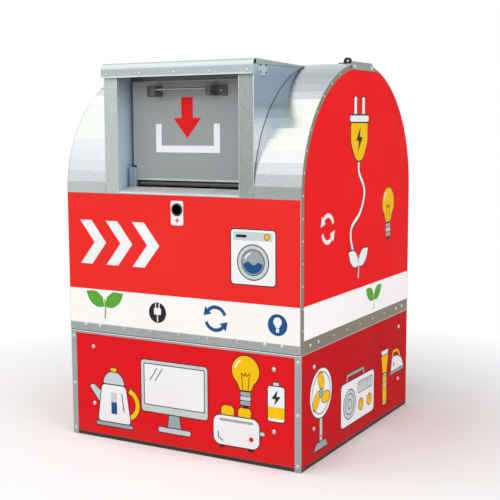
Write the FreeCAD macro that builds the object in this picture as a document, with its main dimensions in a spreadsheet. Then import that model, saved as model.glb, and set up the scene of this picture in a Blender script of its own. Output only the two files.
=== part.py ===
import FreeCAD, Part
import math
import os
import Sketcher

doc = FreeCAD.newDocument("recycling_bin")
Vector = FreeCAD.Vector

# millimetres and degrees; floor at z = 0, front towards -Y, the viewer's right towards +X
driving = (
    ("bin_width", 1200),
    ("bin_depth", 1220),
    ("seam_height", 500),
    ("spring_height", 1140),
    ("arch_rise", 573),
    ("facet_count", 36),
    ("sheet", 2),
    ("fit_gap", 0.3),
    ("seam_gap", 0.5),
    ("bore_gap", 0.05),
    ("cut_over", 1),
    ("plinth_height", 40),
    ("plinth_show", 18),
    ("plinth_bar", 40),
    ("bearer_width", 80),
    ("bearer_spacing", 300),
    ("floor_sheet", 3),
    ("strip_width", 31),
    ("strip_foot", 2),
    ("bend_radius", 1.6),
    ("lip_depth", 30),
    ("lip_bend", 5),
    ("rail_leg", 40),
    ("rail_sheet", 3),
    ("rib_leg", 25),
    ("beam_size", 40),
    ("beam_wall", 3),
    ("beam_drop", 1),
    ("bolt_head", 11),
    ("bolt_rise", 5.5),
    ("neck_half", 4),
    ("head_sides", 8),
    ("head_taper", 0.55),
    ("bolt_tail", 6),
    ("strip_bolt_head", 8.8),
    ("strip_bolt_dome", 4.4),
    ("front_bolt_inset", 128),
    ("side_bolt_inset", 120),
    ("base_bolt_low", 160),
    ("base_bolt_drop", 72),
    ("strip_bolt_inset", 16),
    ("strip_bolt_low", 26),
    ("strip_bolt_mid", 244),
    ("strip_bolt_drop", 32),
    ("seam_bolt_rise", 28),
    ("seam_bolt_inset", 90),
    ("seam_bolt_side", 82),
    ("seam_bolt_pitch", 80),
    ("lift_plate_sheet", 3),
    ("lift_plate_front", 123),
    ("lift_plate_rear", 101),
    ("lift_plate_slant", 42),
    ("lift_plate_drop", 32),
    ("lift_plate_rise", 3),
    ("lift_bolt_spread", 96),
    ("lift_bolt_drop", 19),
    ("lift_bolt_head", 9),
    ("lift_bolt_dome", 5),
    ("lug_inset", 72),
    ("lug_width", 36),
    ("lug_thick", 14),
    ("lug_rise", 24),
    ("lug_bore", 6.5),
    ("lug_eye_rise", 3),
    ("lug_foot_length", 70),
    ("lug_foot_width", 44),
    ("lug_foot_sheet", 4),
    ("hood_width", 758),
    ("post_width", 70),
    ("post_return", 24),
    ("post_top_gap", 12),
    ("nose_drop", 1),
    ("nose_radius", 27),
    ("nose_tuck", 8),
    ("header_height", 64),
    ("header_overhang", 13),
    ("header_lip", 8),
    ("roof_side", 6),
    ("roof_run", 467),
    ("roof_lap", 14),
    ("hem_front", 22),
    ("hem_rear", 9),
    ("hem_run", 430),
    ("cheek_flange", 31),
    ("flange_low", 110),
    ("flange_full", 430),
    ("flange_stop", 34),
    ("flange_start", 4),
    ("cheek_rim", 12),
    ("cheek_low", 15),
    ("cheek_run", 210),
    ("recess_depth", 90),
    ("sill_lip", 10),
    ("sill_rise", 28),
    ("sill_gap", 5),
    ("sill_return", 30),
    ("slot_height", 30),
    ("top_gap", 15.5),
    ("flap_side_gap", 23.5),
    ("flap_fold", 14),
    ("notch_width", 16),
    ("notch_height", 65),
    ("pivot_behind", 25),
    ("pivot_drop", 15),
    ("axle_radius", 12.5),
    ("bush_wall", 5),
    ("bush_length", 16),
    ("chute_side_inset", 3),
    ("chute_angle", 95),
    ("open_angle", 65),
    ("side_overrun", 1.5),
    ("side_drop", 20),
    ("side_chords", 14),
    ("floor_start", 1),
    ("mouth_clear", 6),
    ("mouth_lap", 13),
    ("mouth_rise", 22),
    ("mouth_sheet", 3),
    ("reach_clear", 19),
    ("seal_thick", 4.7),
    ("seal_width", 11),
    ("seal_inset", 2),
    ("guard_inset", 20),
    ("guard_lap", 17),
    ("guard_height", 87),
    ("guard_run", 30),
    ("stop_radius", 6),
    ("stop_reach", 200),
    ("stop_length", 14),
    ("stop_angle", 80),
    ("buffer_gap", 3),
    ("buffer_depth", 20),
    ("buffer_height", 50),
    ("handle_span", 410),
    ("handle_drop", 44.5),
    ("block_length", 79),
    ("block_height", 45),
    ("block_base", 9),
    ("boss_length", 36),
    ("boss_depth", 58),
    ("boss_round", 5),
    ("rod_radius", 6.5),
    ("rod_standoff", 49),
    ("rod_rise", 7),
    ("rod_socket", 20),
    ("screw_head", 6),
    ("screw_dome", 3),
    ("screw_neck", 7.5),
    ("screw_inset", 29),
    ("port_drop", 61),
    ("port_bore", 19.5),
    ("port_wall", 3),
    ("port_flange", 27),
    ("port_flange_sheet", 4),
    ("port_depth", 48),
    ("tray_width", 200),
    ("tray_depth", 120),
    ("tray_height", 260),
    ("tray_drop", 12),
    ("tray_sheet", 2),
    ("door_margin", 179),
    ("door_low", 79),
    ("door_high", 39),
    ("door_gap", 4),
    ("door_fold", 20),
    ("door_lap", 24),
    ("frame_flange", 30),
    ("hinge_side", 7),
    ("hinge_stand", 8),
    ("hinge_length", 96),
    ("hinge_inset", 100),
    ("hinge_leaf", 38),
    ("hinge_sheet", 3),
    ("hinge_web", 2),
    ("knuckle_radius", 7.5),
    ("pin_radius", 4),
    ("knuckle_gap", 0.4),
    ("lock_inset", 46),
    ("lock_case_width", 44),
    ("lock_case_height", 130),
    ("lock_case_depth", 12),
    ("spindle_radius", 6),
    ("hub_radius", 15),
    ("hub_depth", 14),
    ("lever_length", 112),
    ("lever_width", 20),
    ("lever_depth", 9),
    ("lever_round", 8),
    ("cam_length", 55),
    ("cam_width", 20),
    ("cam_sheet", 6),
    ("cam_clear", 9),
)

# places that follow from the driving sizes
derived = (
    ("half_width", "dims.bin_width / 2"),
    ("half_depth", "dims.bin_depth / 2"),
    ("skin_x", "half_width - dims.sheet"),
    ("skin_y", "half_depth - dims.sheet"),
    ("base_y", "half_depth - 2 * dims.sheet"),
    ("crown", "dims.spring_height + dims.arch_rise"),
    ("upper_foot", "dims.seam_height + dims.seam_gap"),
    ("base_bolt_high", "dims.seam_height - dims.base_bolt_drop"),
    ("strip_bolt_high", "dims.seam_height - dims.strip_bolt_drop"),
    ("strip_bolt_x", "half_width - dims.strip_bolt_inset"),
    ("front_bolt_x", "half_width - dims.front_bolt_inset"),
    ("side_bolt_y", "half_depth - dims.side_bolt_inset"),
    ("seam_bolt_z", "dims.seam_height + dims.seam_bolt_rise"),
    ("seam_bolt_x", "half_width - dims.seam_bolt_inset"),
    ("seam_bolt_y", "half_depth - dims.seam_bolt_side"),
    ("hood_half", "dims.hood_width / 2"),
    ("post_in", "hood_half - dims.post_width"),
    ("cheek_in", "post_in + dims.sheet"),
    ("nose_top", "crown - dims.nose_drop"),
    ("header_foot", "nose_top - dims.header_height"),
    ("header_y", "half_depth + dims.header_overhang"),
    ("roof_half", "hood_half + dims.roof_side"),
    ("roof_rear", "half_depth - dims.roof_run"),
    ("roof_arch", "dims.arch_rise * sqrt(1 - (roof_rear / half_depth) ^ 2)"),
    ("roof_low", "dims.spring_height + dims.fit_gap + roof_arch"),
    ("roof_front", "header_y - dims.sheet"),
    ("roof_high", "nose_top - dims.sheet"),
    ("roof_slope", "(roof_low - roof_high) / (roof_front - roof_rear)"),
    ("nose_rear", "header_y - dims.nose_radius"),
    ("nose_low", "nose_top - dims.nose_radius"),
    ("hem_y", "half_depth - dims.hem_run"),
    ("sill_front", "dims.spring_height + dims.sill_lip"),
    ("sill_rear", "dims.spring_height + dims.sill_rise"),
    ("sill_half", "post_in - dims.fit_gap"),
    ("flap_face", "half_depth - dims.recess_depth"),
    ("flap_back", "flap_face - dims.sheet"),
    ("fold_back", "flap_back - dims.flap_fold"),
    ("sill_end", "flap_face + dims.sill_gap"),
    ("sill_slope", "(sill_rear - sill_front) / (half_depth - sill_end)"),
    ("flap_low", "sill_rear + dims.slot_height"),
    ("flap_high", "header_foot - dims.top_gap"),
    ("flap_half", "cheek_in - dims.flap_side_gap"),
    ("notch_half", "flap_half - dims.notch_width"),
    ("notch_z", "flap_low + dims.notch_height"),
    ("pivot_y", "flap_face - dims.pivot_behind"),
    ("pivot_z", "flap_low - dims.pivot_drop"),
    ("bush_radius", "dims.axle_radius + dims.bore_gap + dims.bush_wall"),
    ("bush_in", "cheek_in - (dims.bush_length - dims.sheet) / 2"),
    ("axle_half", "bush_in + dims.bush_length"),
    ("chute_half", "notch_half - dims.chute_side_inset"),
    ("chute_in", "chute_half - dims.sheet"),
    ("mouth_in", "chute_half + dims.mouth_clear"),
    ("mouth_out", "cheek_in - dims.fit_gap"),
    ("mouth_top", "flap_high - dims.mouth_lap"),
    ("mouth_head", "flap_high + dims.mouth_rise"),
    ("mouth_face", "fold_back - dims.fit_gap - dims.seal_thick"),
    ("mouth_back", "mouth_face - dims.mouth_sheet"),
    ("chute_reach", "mouth_top - pivot_z - dims.reach_clear"),
    ("guard_top", "sill_rear + dims.guard_height"),
    ("guard_front", "flap_face + dims.guard_run"),
    ("guard_foot", "sill_rear - sill_slope * (guard_front - sill_end)"),
    ("guard_out", "cheek_in - dims.guard_inset"),
    ("guard_in", "guard_out - dims.sheet"),
    ("handle_half", "dims.handle_span / 2"),
    ("handle_z", "flap_high - dims.handle_drop"),
    ("boss_in", "handle_half - dims.block_length"),
    ("rod_y", "flap_face + dims.rod_standoff"),
    ("rod_z", "handle_z + dims.rod_rise"),
    ("port_z", "dims.spring_height - dims.port_drop"),
    ("port_sleeve", "dims.port_bore + dims.port_wall"),
    ("tray_top", "port_z - port_sleeve - dims.tray_drop"),
    ("door_half", "half_width - dims.door_margin"),
    ("door_foot", "dims.seam_height + dims.door_low"),
    ("door_head", "dims.spring_height - dims.door_high"),
    ("door_back", "skin_y - dims.door_fold"),
    ("rebate_face", "door_back - dims.fit_gap - dims.seal_thick"),
    ("rebate_back", "rebate_face - dims.sheet"),
    ("gap_half", "door_half + dims.door_gap"),
    ("gap_foot", "door_foot - dims.door_gap"),
    ("gap_head", "door_head + dims.door_gap"),
    ("hinge_x", "gap_half + dims.hinge_side"),
    ("hinge_y", "half_depth + dims.hinge_stand"),
    ("hinge_low", "door_foot + dims.hinge_inset"),
    ("hinge_high", "door_head - dims.hinge_inset - dims.hinge_length"),
    ("lock_x", "door_half - dims.lock_inset"),
    ("lock_z", "(door_foot + door_head) / 2"),
    ("lock_face", "half_depth + dims.lock_case_depth"),
    ("hub_back", "lock_face + dims.fit_gap"),
    ("cam_face", "rebate_back - dims.cam_clear"),
)

dims = doc.addObject("Spreadsheet::Sheet", "dims")
for row, (name, value) in enumerate(driving, start=1):
    dims.set("A%d" % row, name)
    dims.set("B%d" % row, str(value))
    dims.setAlias("B%d" % row, name)
place = doc.addObject("Spreadsheet::Sheet", "place")
for row, (name, formula) in enumerate(derived, start=1):
    place.set("A%d" % row, name)
    place.set("B%d" % row, "=" + formula)
    place.setAlias("B%d" % row, name)
doc.recompute()

driven = set(name for name, value in driving)
nodes = {}


def size(name):
    return float(getattr(dims if name in driven else place, name))


def under_roof(y):
    return "place.roof_high + place.roof_slope * (place.roof_front - (%s))" % y


def new_body(label):
    body = doc.addObject("PartDesign::Body", label)
    nodes[label] = body
    return body


def value(text):
    return float(place.evalExpression(text))


def bind(sketch, constraint, text):
    sketch.setExpression("Constraints[%d]" % sketch.addConstraint(constraint), text)


def draw_loop(sketch, points):
    first = sketch.GeometryCount
    count = len(points)
    spots = [Vector(value(across), value(up), 0) for across, up in points]
    for i in range(count):
        sketch.addGeometry(Part.LineSegment(spots[i], spots[(i + 1) % count]))
    for i in range(count):
        sketch.addConstraint(Sketcher.Constraint("Coincident", first + i, 2, first + (i + 1) % count, 1))
    for i, (across, up) in enumerate(points):
        bind(sketch, Sketcher.Constraint("DistanceX", first + i, 1, spots[i].x), across)
        bind(sketch, Sketcher.Constraint("DistanceY", first + i, 1, spots[i].y), up)


def draw_disc(sketch, across, up, radius):
    spot = Vector(value(across), value(up), 0)
    disc = sketch.addGeometry(Part.Circle(spot, Vector(0, 0, 1), value(radius)))
    bind(sketch, Sketcher.Constraint("DistanceX", disc, 3, spot.x), across)
    bind(sketch, Sketcher.Constraint("DistanceY", disc, 3, spot.y), up)
    bind(sketch, Sketcher.Constraint("Radius", disc, value(radius)), radius)


def new_sketch(body, role, offset, loops, discs):
    plane = next(item for item in body.Origin.OriginFeatures if item.Role == role)
    sketch = body.newObject("Sketcher::SketchObject", body.Label + "_sketch")
    sketch.AttachmentSupport = (plane, [""])
    sketch.MapMode = "FlatFace"
    sketch.setExpression("AttachmentOffset.Base.z", offset)
    for points in loops:
        draw_loop(sketch, points)
    for across, up, radius in discs:
        draw_disc(sketch, across, up, radius)
    return sketch


def pad(body, role, offset, depth, loops=(), discs=()):
    sketch = new_sketch(body, role, offset, loops, discs)
    feature = body.newObject("PartDesign::Pad", body.Label + "_pad")
    feature.Profile = sketch
    feature.setExpression("Length", depth)
    sketch.Visibility = False
    doc.recompute()
    return feature


def pocket(body, role, offset, depth, loops=(), discs=()):
    before = body.Shape.Volume
    sketch = new_sketch(body, role, offset, loops, discs)
    feature = body.newObject("PartDesign::Pocket", body.Label + "_pocket")
    feature.Profile = sketch
    feature.setExpression("Length", depth)
    sketch.Visibility = False
    doc.recompute()
    if body.Shape.Volume >= before:
        raise RuntimeError("pocket cuts nothing in " + body.Label)
    return feature


def round_edges(body, feature, chosen, radius):
    edges = ["Edge%d" % (i + 1) for i, edge in enumerate(feature.Shape.Edges) if chosen(edge)]
    fillet = body.newObject("PartDesign::Fillet", body.Label + "_bend")
    fillet.Base = (feature, edges)
    fillet.setExpression("Radius", radius)
    doc.recompute()
    return fillet


def rect(left, right, low, high):
    return ((left, low), (right, low), (right, high), (left, high))


def mirror(side, points):
    return tuple(("%d * (%s)" % (side, across), up) for across, up in points)


def box(label, corner, extent):
    item = doc.addObject("Part::Box", label)
    for axis, text in zip("xyz", corner):
        item.setExpression("Placement.Base." + axis, text)
    for prop, text in zip(("Length", "Width", "Height"), extent):
        item.setExpression(prop, text)
    return item


def group(label, items):
    item = doc.addObject("Part::Compound", label)
    item.Links = items
    nodes[label] = item
    return item


def shaped(label, shape):
    item = doc.addObject("Part::Feature", label)
    item.Shape = shape
    nodes[label] = item
    return item


def near(edge, axis, first, second):
    # straight edge along one axis, found by where its middle sits on the other two
    if not isinstance(edge.Curve, Part.Line) or abs(edge.Curve.Direction.dot(axis)) < 0.999:
        return False
    middle = edge.CenterOfMass
    pair = [value for value, part in zip(middle, axis) if abs(part) < 0.5]
    return abs(pair[0] - first) < 0.05 and abs(pair[1] - second) < 0.05


def block(x0, x1, y0, y1, z0, z1):
    return Part.makeBox(x1 - x0, y1 - y0, z1 - z0, Vector(x0, y0, z0))


def rod(radius, start, end):
    along = end - start
    return Part.makeCylinder(radius, along.Length, start, along)


def side_prism(points, x0, x1):
    corners = [Vector(x0, y, z) for y, z in points]
    return Part.Face(Part.makePolygon(corners + corners[:1])).extrude(Vector(x1 - x0, 0, 0))


def front_prism(points, y0, y1):
    corners = [Vector(x, y0, z) for x, z in points]
    return Part.Face(Part.makePolygon(corners + corners[:1])).extrude(Vector(0, y1 - y0, 0))


over = size("cut_over")


def arch(inset, foot, x0, x1):
    reach = size("half_depth") - inset
    rise = size("arch_rise") - inset
    spring = size("spring_height")
    count = int(size("facet_count"))
    points = [(-reach * math.cos(math.pi * i / count), spring + rise * math.sin(math.pi * i / count))
              for i in range(count + 1)]
    if foot < spring:
        points = [(-reach, foot)] + points + [(reach, foot)]
    return side_prism(points, x0, x1)


def arch_shell(outer, inner, foot, x0, x1):
    return arch(outer, foot, x0, x1).cut(arch(inner, foot - over, x0 - over, x1 + over))


def head_ring(radius, height):
    count = int(size("head_sides"))
    turns = [2 * math.pi * (i + 0.5) / count for i in range(count)]
    return [Vector(radius * math.cos(turn), radius * math.sin(turn), height) for turn in turns]


def flat_face(corners):
    return Part.Face(Part.makePolygon(corners + corners[:1]))


def bolt(spot, outward, head, rise, depth):
    # carriage bolt: low domed head in a few flats, square neck
    lower = head_ring(head, 0)
    upper = head_ring(head * size("head_taper"), rise)
    faces = [flat_face(lower[::-1]), flat_face(upper)]
    for i in range(len(lower)):
        faces.append(flat_face([lower[i - 1], lower[i], upper[i], upper[i - 1]]))
    dome = Part.makeSolid(Part.makeShell(faces))
    half = size("neck_half")
    solid = dome.fuse(block(-half, half, -half, half, -depth, 0)).removeSplitter()
    solid.Placement = FreeCAD.Placement(spot, FreeCAD.Rotation(Vector(0, 0, 1), outward))
    return solid


def square_hole(across, up):
    half = "(dims.neck_half + dims.bore_gap)"
    return rect("%s - %s" % (across, half), "%s + %s" % (across, half), "%s - %s" % (up, half),
                "%s + %s" % (up, half))


def neck_way(spot, along):
    half = size("neck_half") + size("bore_gap")
    reach = Vector(half, half, half) + along * size("bolt_tail")
    return block(spot.x - reach.x, spot.x + reach.x, spot.y - reach.y, spot.y + reach.y, spot.z - reach.z,
                 spot.z + reach.z)


def signs():
    return ((a, b) for a in (-1, 1) for b in (-1, 1))


X = Vector(1, 0, 0)
Y = Vector(0, 1, 0)
Z = Vector(0, 0, 1)
sides = (("left", -1), ("right", 1))
ends = (("front", -1), ("rear", 1))

# base: plinth, bearers, floor
bars = []
for name, sign in ends:
    start = "-place.base_y" if sign < 0 else "place.base_y - dims.plinth_bar"
    bars.append(box("plinth_" + name, ("-place.skin_x", start, "0"),
                    ("2 * place.skin_x", "dims.plinth_bar", "dims.plinth_height")))
for name, sign in sides:
    start = "-place.skin_x" if sign < 0 else "place.skin_x - dims.plinth_bar"
    bars.append(box("plinth_" + name, (start, "dims.plinth_bar - place.base_y", "0"),
                    ("dims.plinth_bar", "2 * (place.base_y - dims.plinth_bar)", "dims.plinth_height")))
group("base_plinth", bars)
bearers = []
for step in (-1, 0, 1):
    bearers.append(box("bearer", ("%d * dims.bearer_spacing - dims.bearer_width / 2" % step,
                                  "dims.plinth_bar - place.base_y", "0"),
                       ("dims.bearer_width", "2 * (place.base_y - dims.plinth_bar)", "dims.plinth_height")))
group("floor_bearers", bearers)
nodes["floor_pan"] = box("floor_pan", ("dims.fit_gap - place.skin_x", "dims.fit_gap - place.base_y",
                                       "dims.plinth_height"),
                         ("2 * (place.skin_x - dims.fit_gap)", "2 * (place.base_y - dims.fit_gap)",
                          "dims.floor_sheet"))

# base front and rear panels: flat sheet with the top edge folded inwards
for name, sign in ends:
    body = new_body("base_%s_panel" % name)
    outer = "place.skin_y"
    inner = "place.base_y"
    lip = "(place.base_y - dims.lip_depth)"
    profile = ((outer, "dims.plinth_show"), (outer, "dims.seam_height"), (lip, "dims.seam_height"),
               (lip, "dims.seam_height - dims.sheet"), (inner, "dims.seam_height - dims.sheet"),
               (inner, "dims.plinth_show"))
    sheet = pad(body, "YZ_Plane", "dims.fit_gap - place.skin_x", "2 * (place.skin_x - dims.fit_gap)",
                [mirror(sign, profile)])
    round_edges(body, sheet, lambda edge: near(edge, X, sign * size("skin_y"), size("seam_height")),
                "dims.lip_bend")
    holes = []
    for turn in (-1, 1):
        for height in ("dims.base_bolt_low", "place.base_bolt_high"):
            holes.append(square_hole("%d * place.front_bolt_x" % turn, height))
        for height in ("dims.strip_bolt_low", "dims.strip_bolt_mid", "place.strip_bolt_high"):
            holes.append(square_hole("%d * place.strip_bolt_x" % turn, height))
    start = "place.skin_y + dims.cut_over" if sign < 0 else "dims.cut_over - place.base_y"
    pocket(body, "XZ_Plane", start, "dims.sheet + 2 * dims.cut_over", holes)

# base side panels: a U on plan, its flanges are the bare corner strips
for name, sign in sides:
    body = new_body("base_%s_panel" % name)
    flange = "(place.half_width - dims.strip_width)"
    plan = (("place.half_width", "-place.half_depth"), ("place.half_width", "place.half_depth"),
            (flange, "place.half_depth"), (flange, "place.skin_y"), ("place.skin_x", "place.skin_y"),
            ("place.skin_x", "-place.skin_y"), (flange, "-place.skin_y"), (flange, "-place.half_depth"))
    sheet = pad(body, "XY_Plane", "dims.strip_foot", "dims.seam_height - dims.strip_foot",
                [mirror(sign, plan)])
    round_edges(body, sheet, lambda edge: near(edge, Z, sign * size("half_width"), -size("half_depth"))
                or near(edge, Z, sign * size("half_width"), size("half_depth")), "dims.bend_radius")
    holes = []
    for turn in (-1, 1):
        for height in ("dims.base_bolt_low", "place.base_bolt_high"):
            holes.append(square_hole("%d * place.side_bolt_y" % turn, height))
    start = "place.half_width + dims.cut_over" if sign > 0 else "dims.cut_over - place.skin_x"
    foot = rect("-place.skin_y", "place.skin_y", "dims.strip_foot - dims.cut_over", "dims.plinth_show")
    pocket(body, "YZ_Plane", start, "dims.sheet + 2 * dims.cut_over", [foot] + holes)
    holes = [square_hole("%d * place.strip_bolt_x" % sign, height)
             for height in ("dims.strip_bolt_low", "dims.strip_bolt_mid", "place.strip_bolt_high")]
    pocket(body, "XZ_Plane", "place.half_depth + dims.cut_over", "dims.sheet + 2 * dims.cut_over", holes)
    pocket(body, "XZ_Plane", "dims.cut_over - place.skin_y", "dims.sheet + 2 * dims.cut_over", holes)

# rails inside the seam
skin_x = size("skin_x")
skin_y = size("skin_y")
base_y = size("base_y")
half_width = size("half_width")
half_depth = size("half_depth")
seam = size("seam_height")
leg = size("rail_leg")
thick = size("rail_sheet")
bolt_z = size("seam_bolt_z")
clear = size("fit_gap")
bolt_xs = [size("seam_bolt_x"), size("seam_bolt_x") - size("seam_bolt_pitch")]
bolt_ys = [size("seam_bolt_y"), size("seam_bolt_y") - size("seam_bolt_pitch")]
shapes = []
for sign in (-1, 1):
    run = base_y - size("lip_depth") - clear
    upright = block(skin_x - thick, skin_x, -run, run, seam - leg, seam)
    shelf = block(skin_x - leg, skin_x, -run, run, seam - thick, seam)
    rail = upright.fuse(shelf).removeSplitter()
    shapes.append(rail if sign > 0 else rail.mirror(Vector(0, 0, 0), X))
shaped("base_rails", Part.makeCompound(shapes))
shapes = []
for sign in (-1, 1):
    upright = block(-skin_x, skin_x, skin_y - thick, skin_y, seam, seam + leg)
    shelf = block(-skin_x, skin_x, skin_y - leg, skin_y, seam, seam + thick)
    rail = upright.fuse(shelf).removeSplitter()
    for x in bolt_xs + [-x for x in bolt_xs]:
        rail = rail.cut(neck_way(Vector(x, skin_y, bolt_z), Y))
    shapes.append(rail if sign > 0 else rail.mirror(Vector(0, 0, 0), Y))
for sign in (-1, 1):
    run = skin_y - leg
    upright = block(skin_x - thick, skin_x, -run, run, seam, seam + leg)
    shelf = block(skin_x - leg, skin_x, -run, run, seam, seam + thick)
    rail = upright.fuse(shelf).removeSplitter()
    for y in bolt_ys + [-y for y in bolt_ys]:
        rail = rail.cut(neck_way(Vector(skin_x, y, bolt_z), X))
    shapes.append(rail if sign > 0 else rail.mirror(Vector(0, 0, 0), X))
shaped("upper_rails", Part.makeCompound(shapes))

# domed bolts
head = size("bolt_head")
rise = size("bolt_rise")
tail = size("bolt_tail")
sheet = size("sheet")
grip = sheet + thick + tail
panel_bolts = []
strip_bolts = []
seam_bolts = []
for a, b in signs():
    for height in ("base_bolt_low", "base_bolt_high"):
        front_spot = Vector(a * size("front_bolt_x"), b * skin_y, size(height))
        side_spot = Vector(a * half_width, b * size("side_bolt_y"), size(height))
        panel_bolts.append(bolt(front_spot, Y * b, head, rise, sheet + tail))
        panel_bolts.append(bolt(side_spot, X * a, head, rise, sheet + tail))
    for height in ("strip_bolt_low", "strip_bolt_mid", "strip_bolt_high"):
        strip_bolts.append(bolt(Vector(a * size("strip_bolt_x"), b * half_depth, size(height)), Y * b,
                                size("strip_bolt_head"), size("strip_bolt_dome"), 2 * sheet))
    for x in bolt_xs:
        seam_bolts.append(bolt(Vector(a * x, b * half_depth, bolt_z), Y * b, head, rise, grip))
    for y in bolt_ys:
        seam_bolts.append(bolt(Vector(a * half_width, b * y, bolt_z), X * a, head, rise, grip))
shaped("base_panel_bolts", Part.makeCompound(panel_bolts))
shaped("corner_strip_bolts", Part.makeCompound(strip_bolts))
shaped("seam_bolts", Part.makeCompound(seam_bolts))

# upper body: front panel, rear wall, end walls
seam_holes = [square_hole("%d * (%s)" % (turn, text), "place.seam_bolt_z") for turn in (-1, 1)
              for text in ("place.seam_bolt_x", "place.seam_bolt_x - dims.seam_bolt_pitch")]
body = new_body("front_panel")
pad(body, "XZ_Plane", "place.skin_y", "dims.sheet",
    [rect("-place.skin_x", "place.skin_x", "place.upper_foot", "dims.spring_height")] + seam_holes,
    [("0", "place.port_z", "place.port_sleeve + dims.fit_gap")])
body = new_body("rear_wall")
pad(body, "XZ_Plane", "-place.half_depth", "dims.sheet",
    [rect("-place.skin_x", "place.skin_x", "place.upper_foot", "dims.spring_height"),
     rect("-place.gap_half", "place.gap_half", "place.gap_foot", "place.gap_head")] + seam_holes)

lift_ys = (-size("lift_bolt_spread"), size("lift_bolt_spread"))
lift_z = size("crown") - size("lift_bolt_drop")
wall = arch(0, size("upper_foot"), skin_x, half_width)
for y in bolt_ys + [-y for y in bolt_ys]:
    wall = wall.cut(neck_way(Vector(half_width, y, bolt_z), X))
for y in lift_ys:
    wall = wall.cut(neck_way(Vector(half_width, y, lift_z), X))
shaped("right_end_wall", wall)
shaped("left_end_wall", wall.mirror(Vector(0, 0, 0), X))

# vault skin in flat facets, open where the hood is let in
spring = size("spring_height")
crown = size("crown")
hood_half = size("hood_half")
lap = size("roof_rear") + size("roof_lap")
opening = block(-hood_half - clear, hood_half + clear, -half_depth - over, -lap, spring - over, crown + over)
shaped("vault_skin", arch_shell(0, sheet, spring, -skin_x, skin_x).cut(opening))

# ribs inside the corner between end wall and skins
rib_leg = size("rib_leg")
flat = arch_shell(sheet, sheet + rib_leg, seam + leg, skin_x - sheet, skin_x)
for y in lift_ys:
    flat = flat.cut(neck_way(Vector(skin_x, y, lift_z), X))
rib = flat.fuse(arch_shell(sheet, 2 * sheet, seam + leg, skin_x - rib_leg, skin_x - sheet)).removeSplitter()
shaped("right_arch_rib", rib)
shaped("left_arch_rib", rib.mirror(Vector(0, 0, 0), X))

# lifting gear on the crown
beam_top = crown - 2 * sheet - size("beam_drop")
beam_end = skin_x - sheet - clear
beam = size("beam_size")
wall = size("beam_wall")
tube = block(-beam_end, beam_end, -beam / 2, beam / 2, beam_top - beam, beam_top)
tube = tube.cut(block(-beam_end - over, beam_end + over, wall - beam / 2, beam / 2 - wall,
                      beam_top - beam + wall, beam_top - wall))
shaped("ridge_beam", tube)
lugs = []
for sign in (-1, 1):
    x = sign * (half_width - size("lug_inset"))
    foot_top = crown + size("lug_foot_sheet")
    half = size("lug_width") / 2
    deep = size("lug_thick") / 2
    centre = foot_top + size("lug_rise") - half
    foot_half = size("lug_foot_length") / 2
    foot_deep = size("lug_foot_width") / 2
    foot = block(x - foot_half, x + foot_half, -foot_deep, foot_deep, crown, foot_top)
    upright = block(x - half, x + half, -deep, deep, foot_top, centre)
    upright = upright.fuse(rod(half, Vector(x, -deep, centre), Vector(x, deep, centre)))
    upright = upright.common(block(x - half, x + half, -deep, deep, foot_top, centre + half + over))
    eye_z = centre + size("lug_eye_rise")
    eye = rod(size("lug_bore"), Vector(x, -deep - over, eye_z), Vector(x, deep + over, eye_z))
    lugs.append(foot.fuse(upright).removeSplitter().cut(eye))
shaped("lifting_lugs", Part.makeCompound(lugs))
lift_bolts = []
for name, sign in sides:
    body = new_body("lifting_plate_" + name)
    shape = (("-dims.lift_plate_front", "place.crown - dims.lift_plate_drop"),
             ("dims.lift_plate_rear + dims.lift_plate_slant", "place.crown - dims.lift_plate_drop"),
             ("dims.lift_plate_rear", "place.crown + dims.lift_plate_rise"),
             ("-dims.lift_plate_front", "place.crown + dims.lift_plate_rise"))
    holes = [square_hole("%d * dims.lift_bolt_spread" % turn, "place.crown - dims.lift_bolt_drop")
             for turn in (-1, 1)]
    start = "place.half_width" if sign > 0 else "-place.half_width - dims.lift_plate_sheet"
    pad(body, "YZ_Plane", start, "dims.lift_plate_sheet", [shape] + holes)
    for y in lift_ys:
        spot = Vector(sign * (half_width + size("lift_plate_sheet")), y, lift_z)
        lift_bolts.append(bolt(spot, X * sign, size("lift_bolt_head"), size("lift_bolt_dome"),
                               size("lift_plate_sheet") + 2 * sheet))
shaped("lifting_plate_bolts", Part.makeCompound(lift_bolts))

# hood roof: lip, header face, rolled nose, sloping sheet, side hems
body = new_body("hood_roof")
inner_lip = "dims.header_lip - dims.sheet * (sqrt(2) - 1)"
profile = (("-place.header_y - dims.header_lip", "place.header_foot"),
           ("-place.header_y", "place.header_foot + dims.header_lip"),
           ("-place.header_y", "place.nose_top"),
           ("-place.roof_rear", "place.roof_low + dims.sheet"),
           ("-place.roof_rear", "place.roof_low"),
           ("-place.roof_front", "place.roof_high"),
           ("-place.roof_front", "place.header_foot + " + inner_lip),
           ("-place.header_y - dims.header_lip + dims.sheet * sqrt(2)", "place.header_foot"))
roof = pad(body, "YZ_Plane", "-place.roof_half", "2 * place.roof_half", [profile])
roof = round_edges(body, roof, lambda edge: near(edge, X, -size("header_y"), size("nose_top")),
                   "dims.nose_radius")
roof = round_edges(body, roof, lambda edge: near(edge, X, -size("roof_front"), size("roof_high")),
                   "dims.nose_radius - dims.sheet")
hem = (("-place.nose_rear", under_roof("place.nose_rear") + " + dims.sheet / 2"),
       ("-place.hem_y", under_roof("place.hem_y") + " + dims.sheet / 2"),
       ("-place.hem_y", under_roof("place.hem_y") + " + dims.sheet - dims.hem_rear"),
       ("-place.nose_rear", under_roof("place.nose_rear") + " + dims.sheet - dims.hem_front"))
pad(body, "YZ_Plane", "place.roof_half - dims.sheet", "dims.sheet", [hem])
pad(body, "YZ_Plane", "-place.roof_half", "dims.sheet", [hem])

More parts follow.
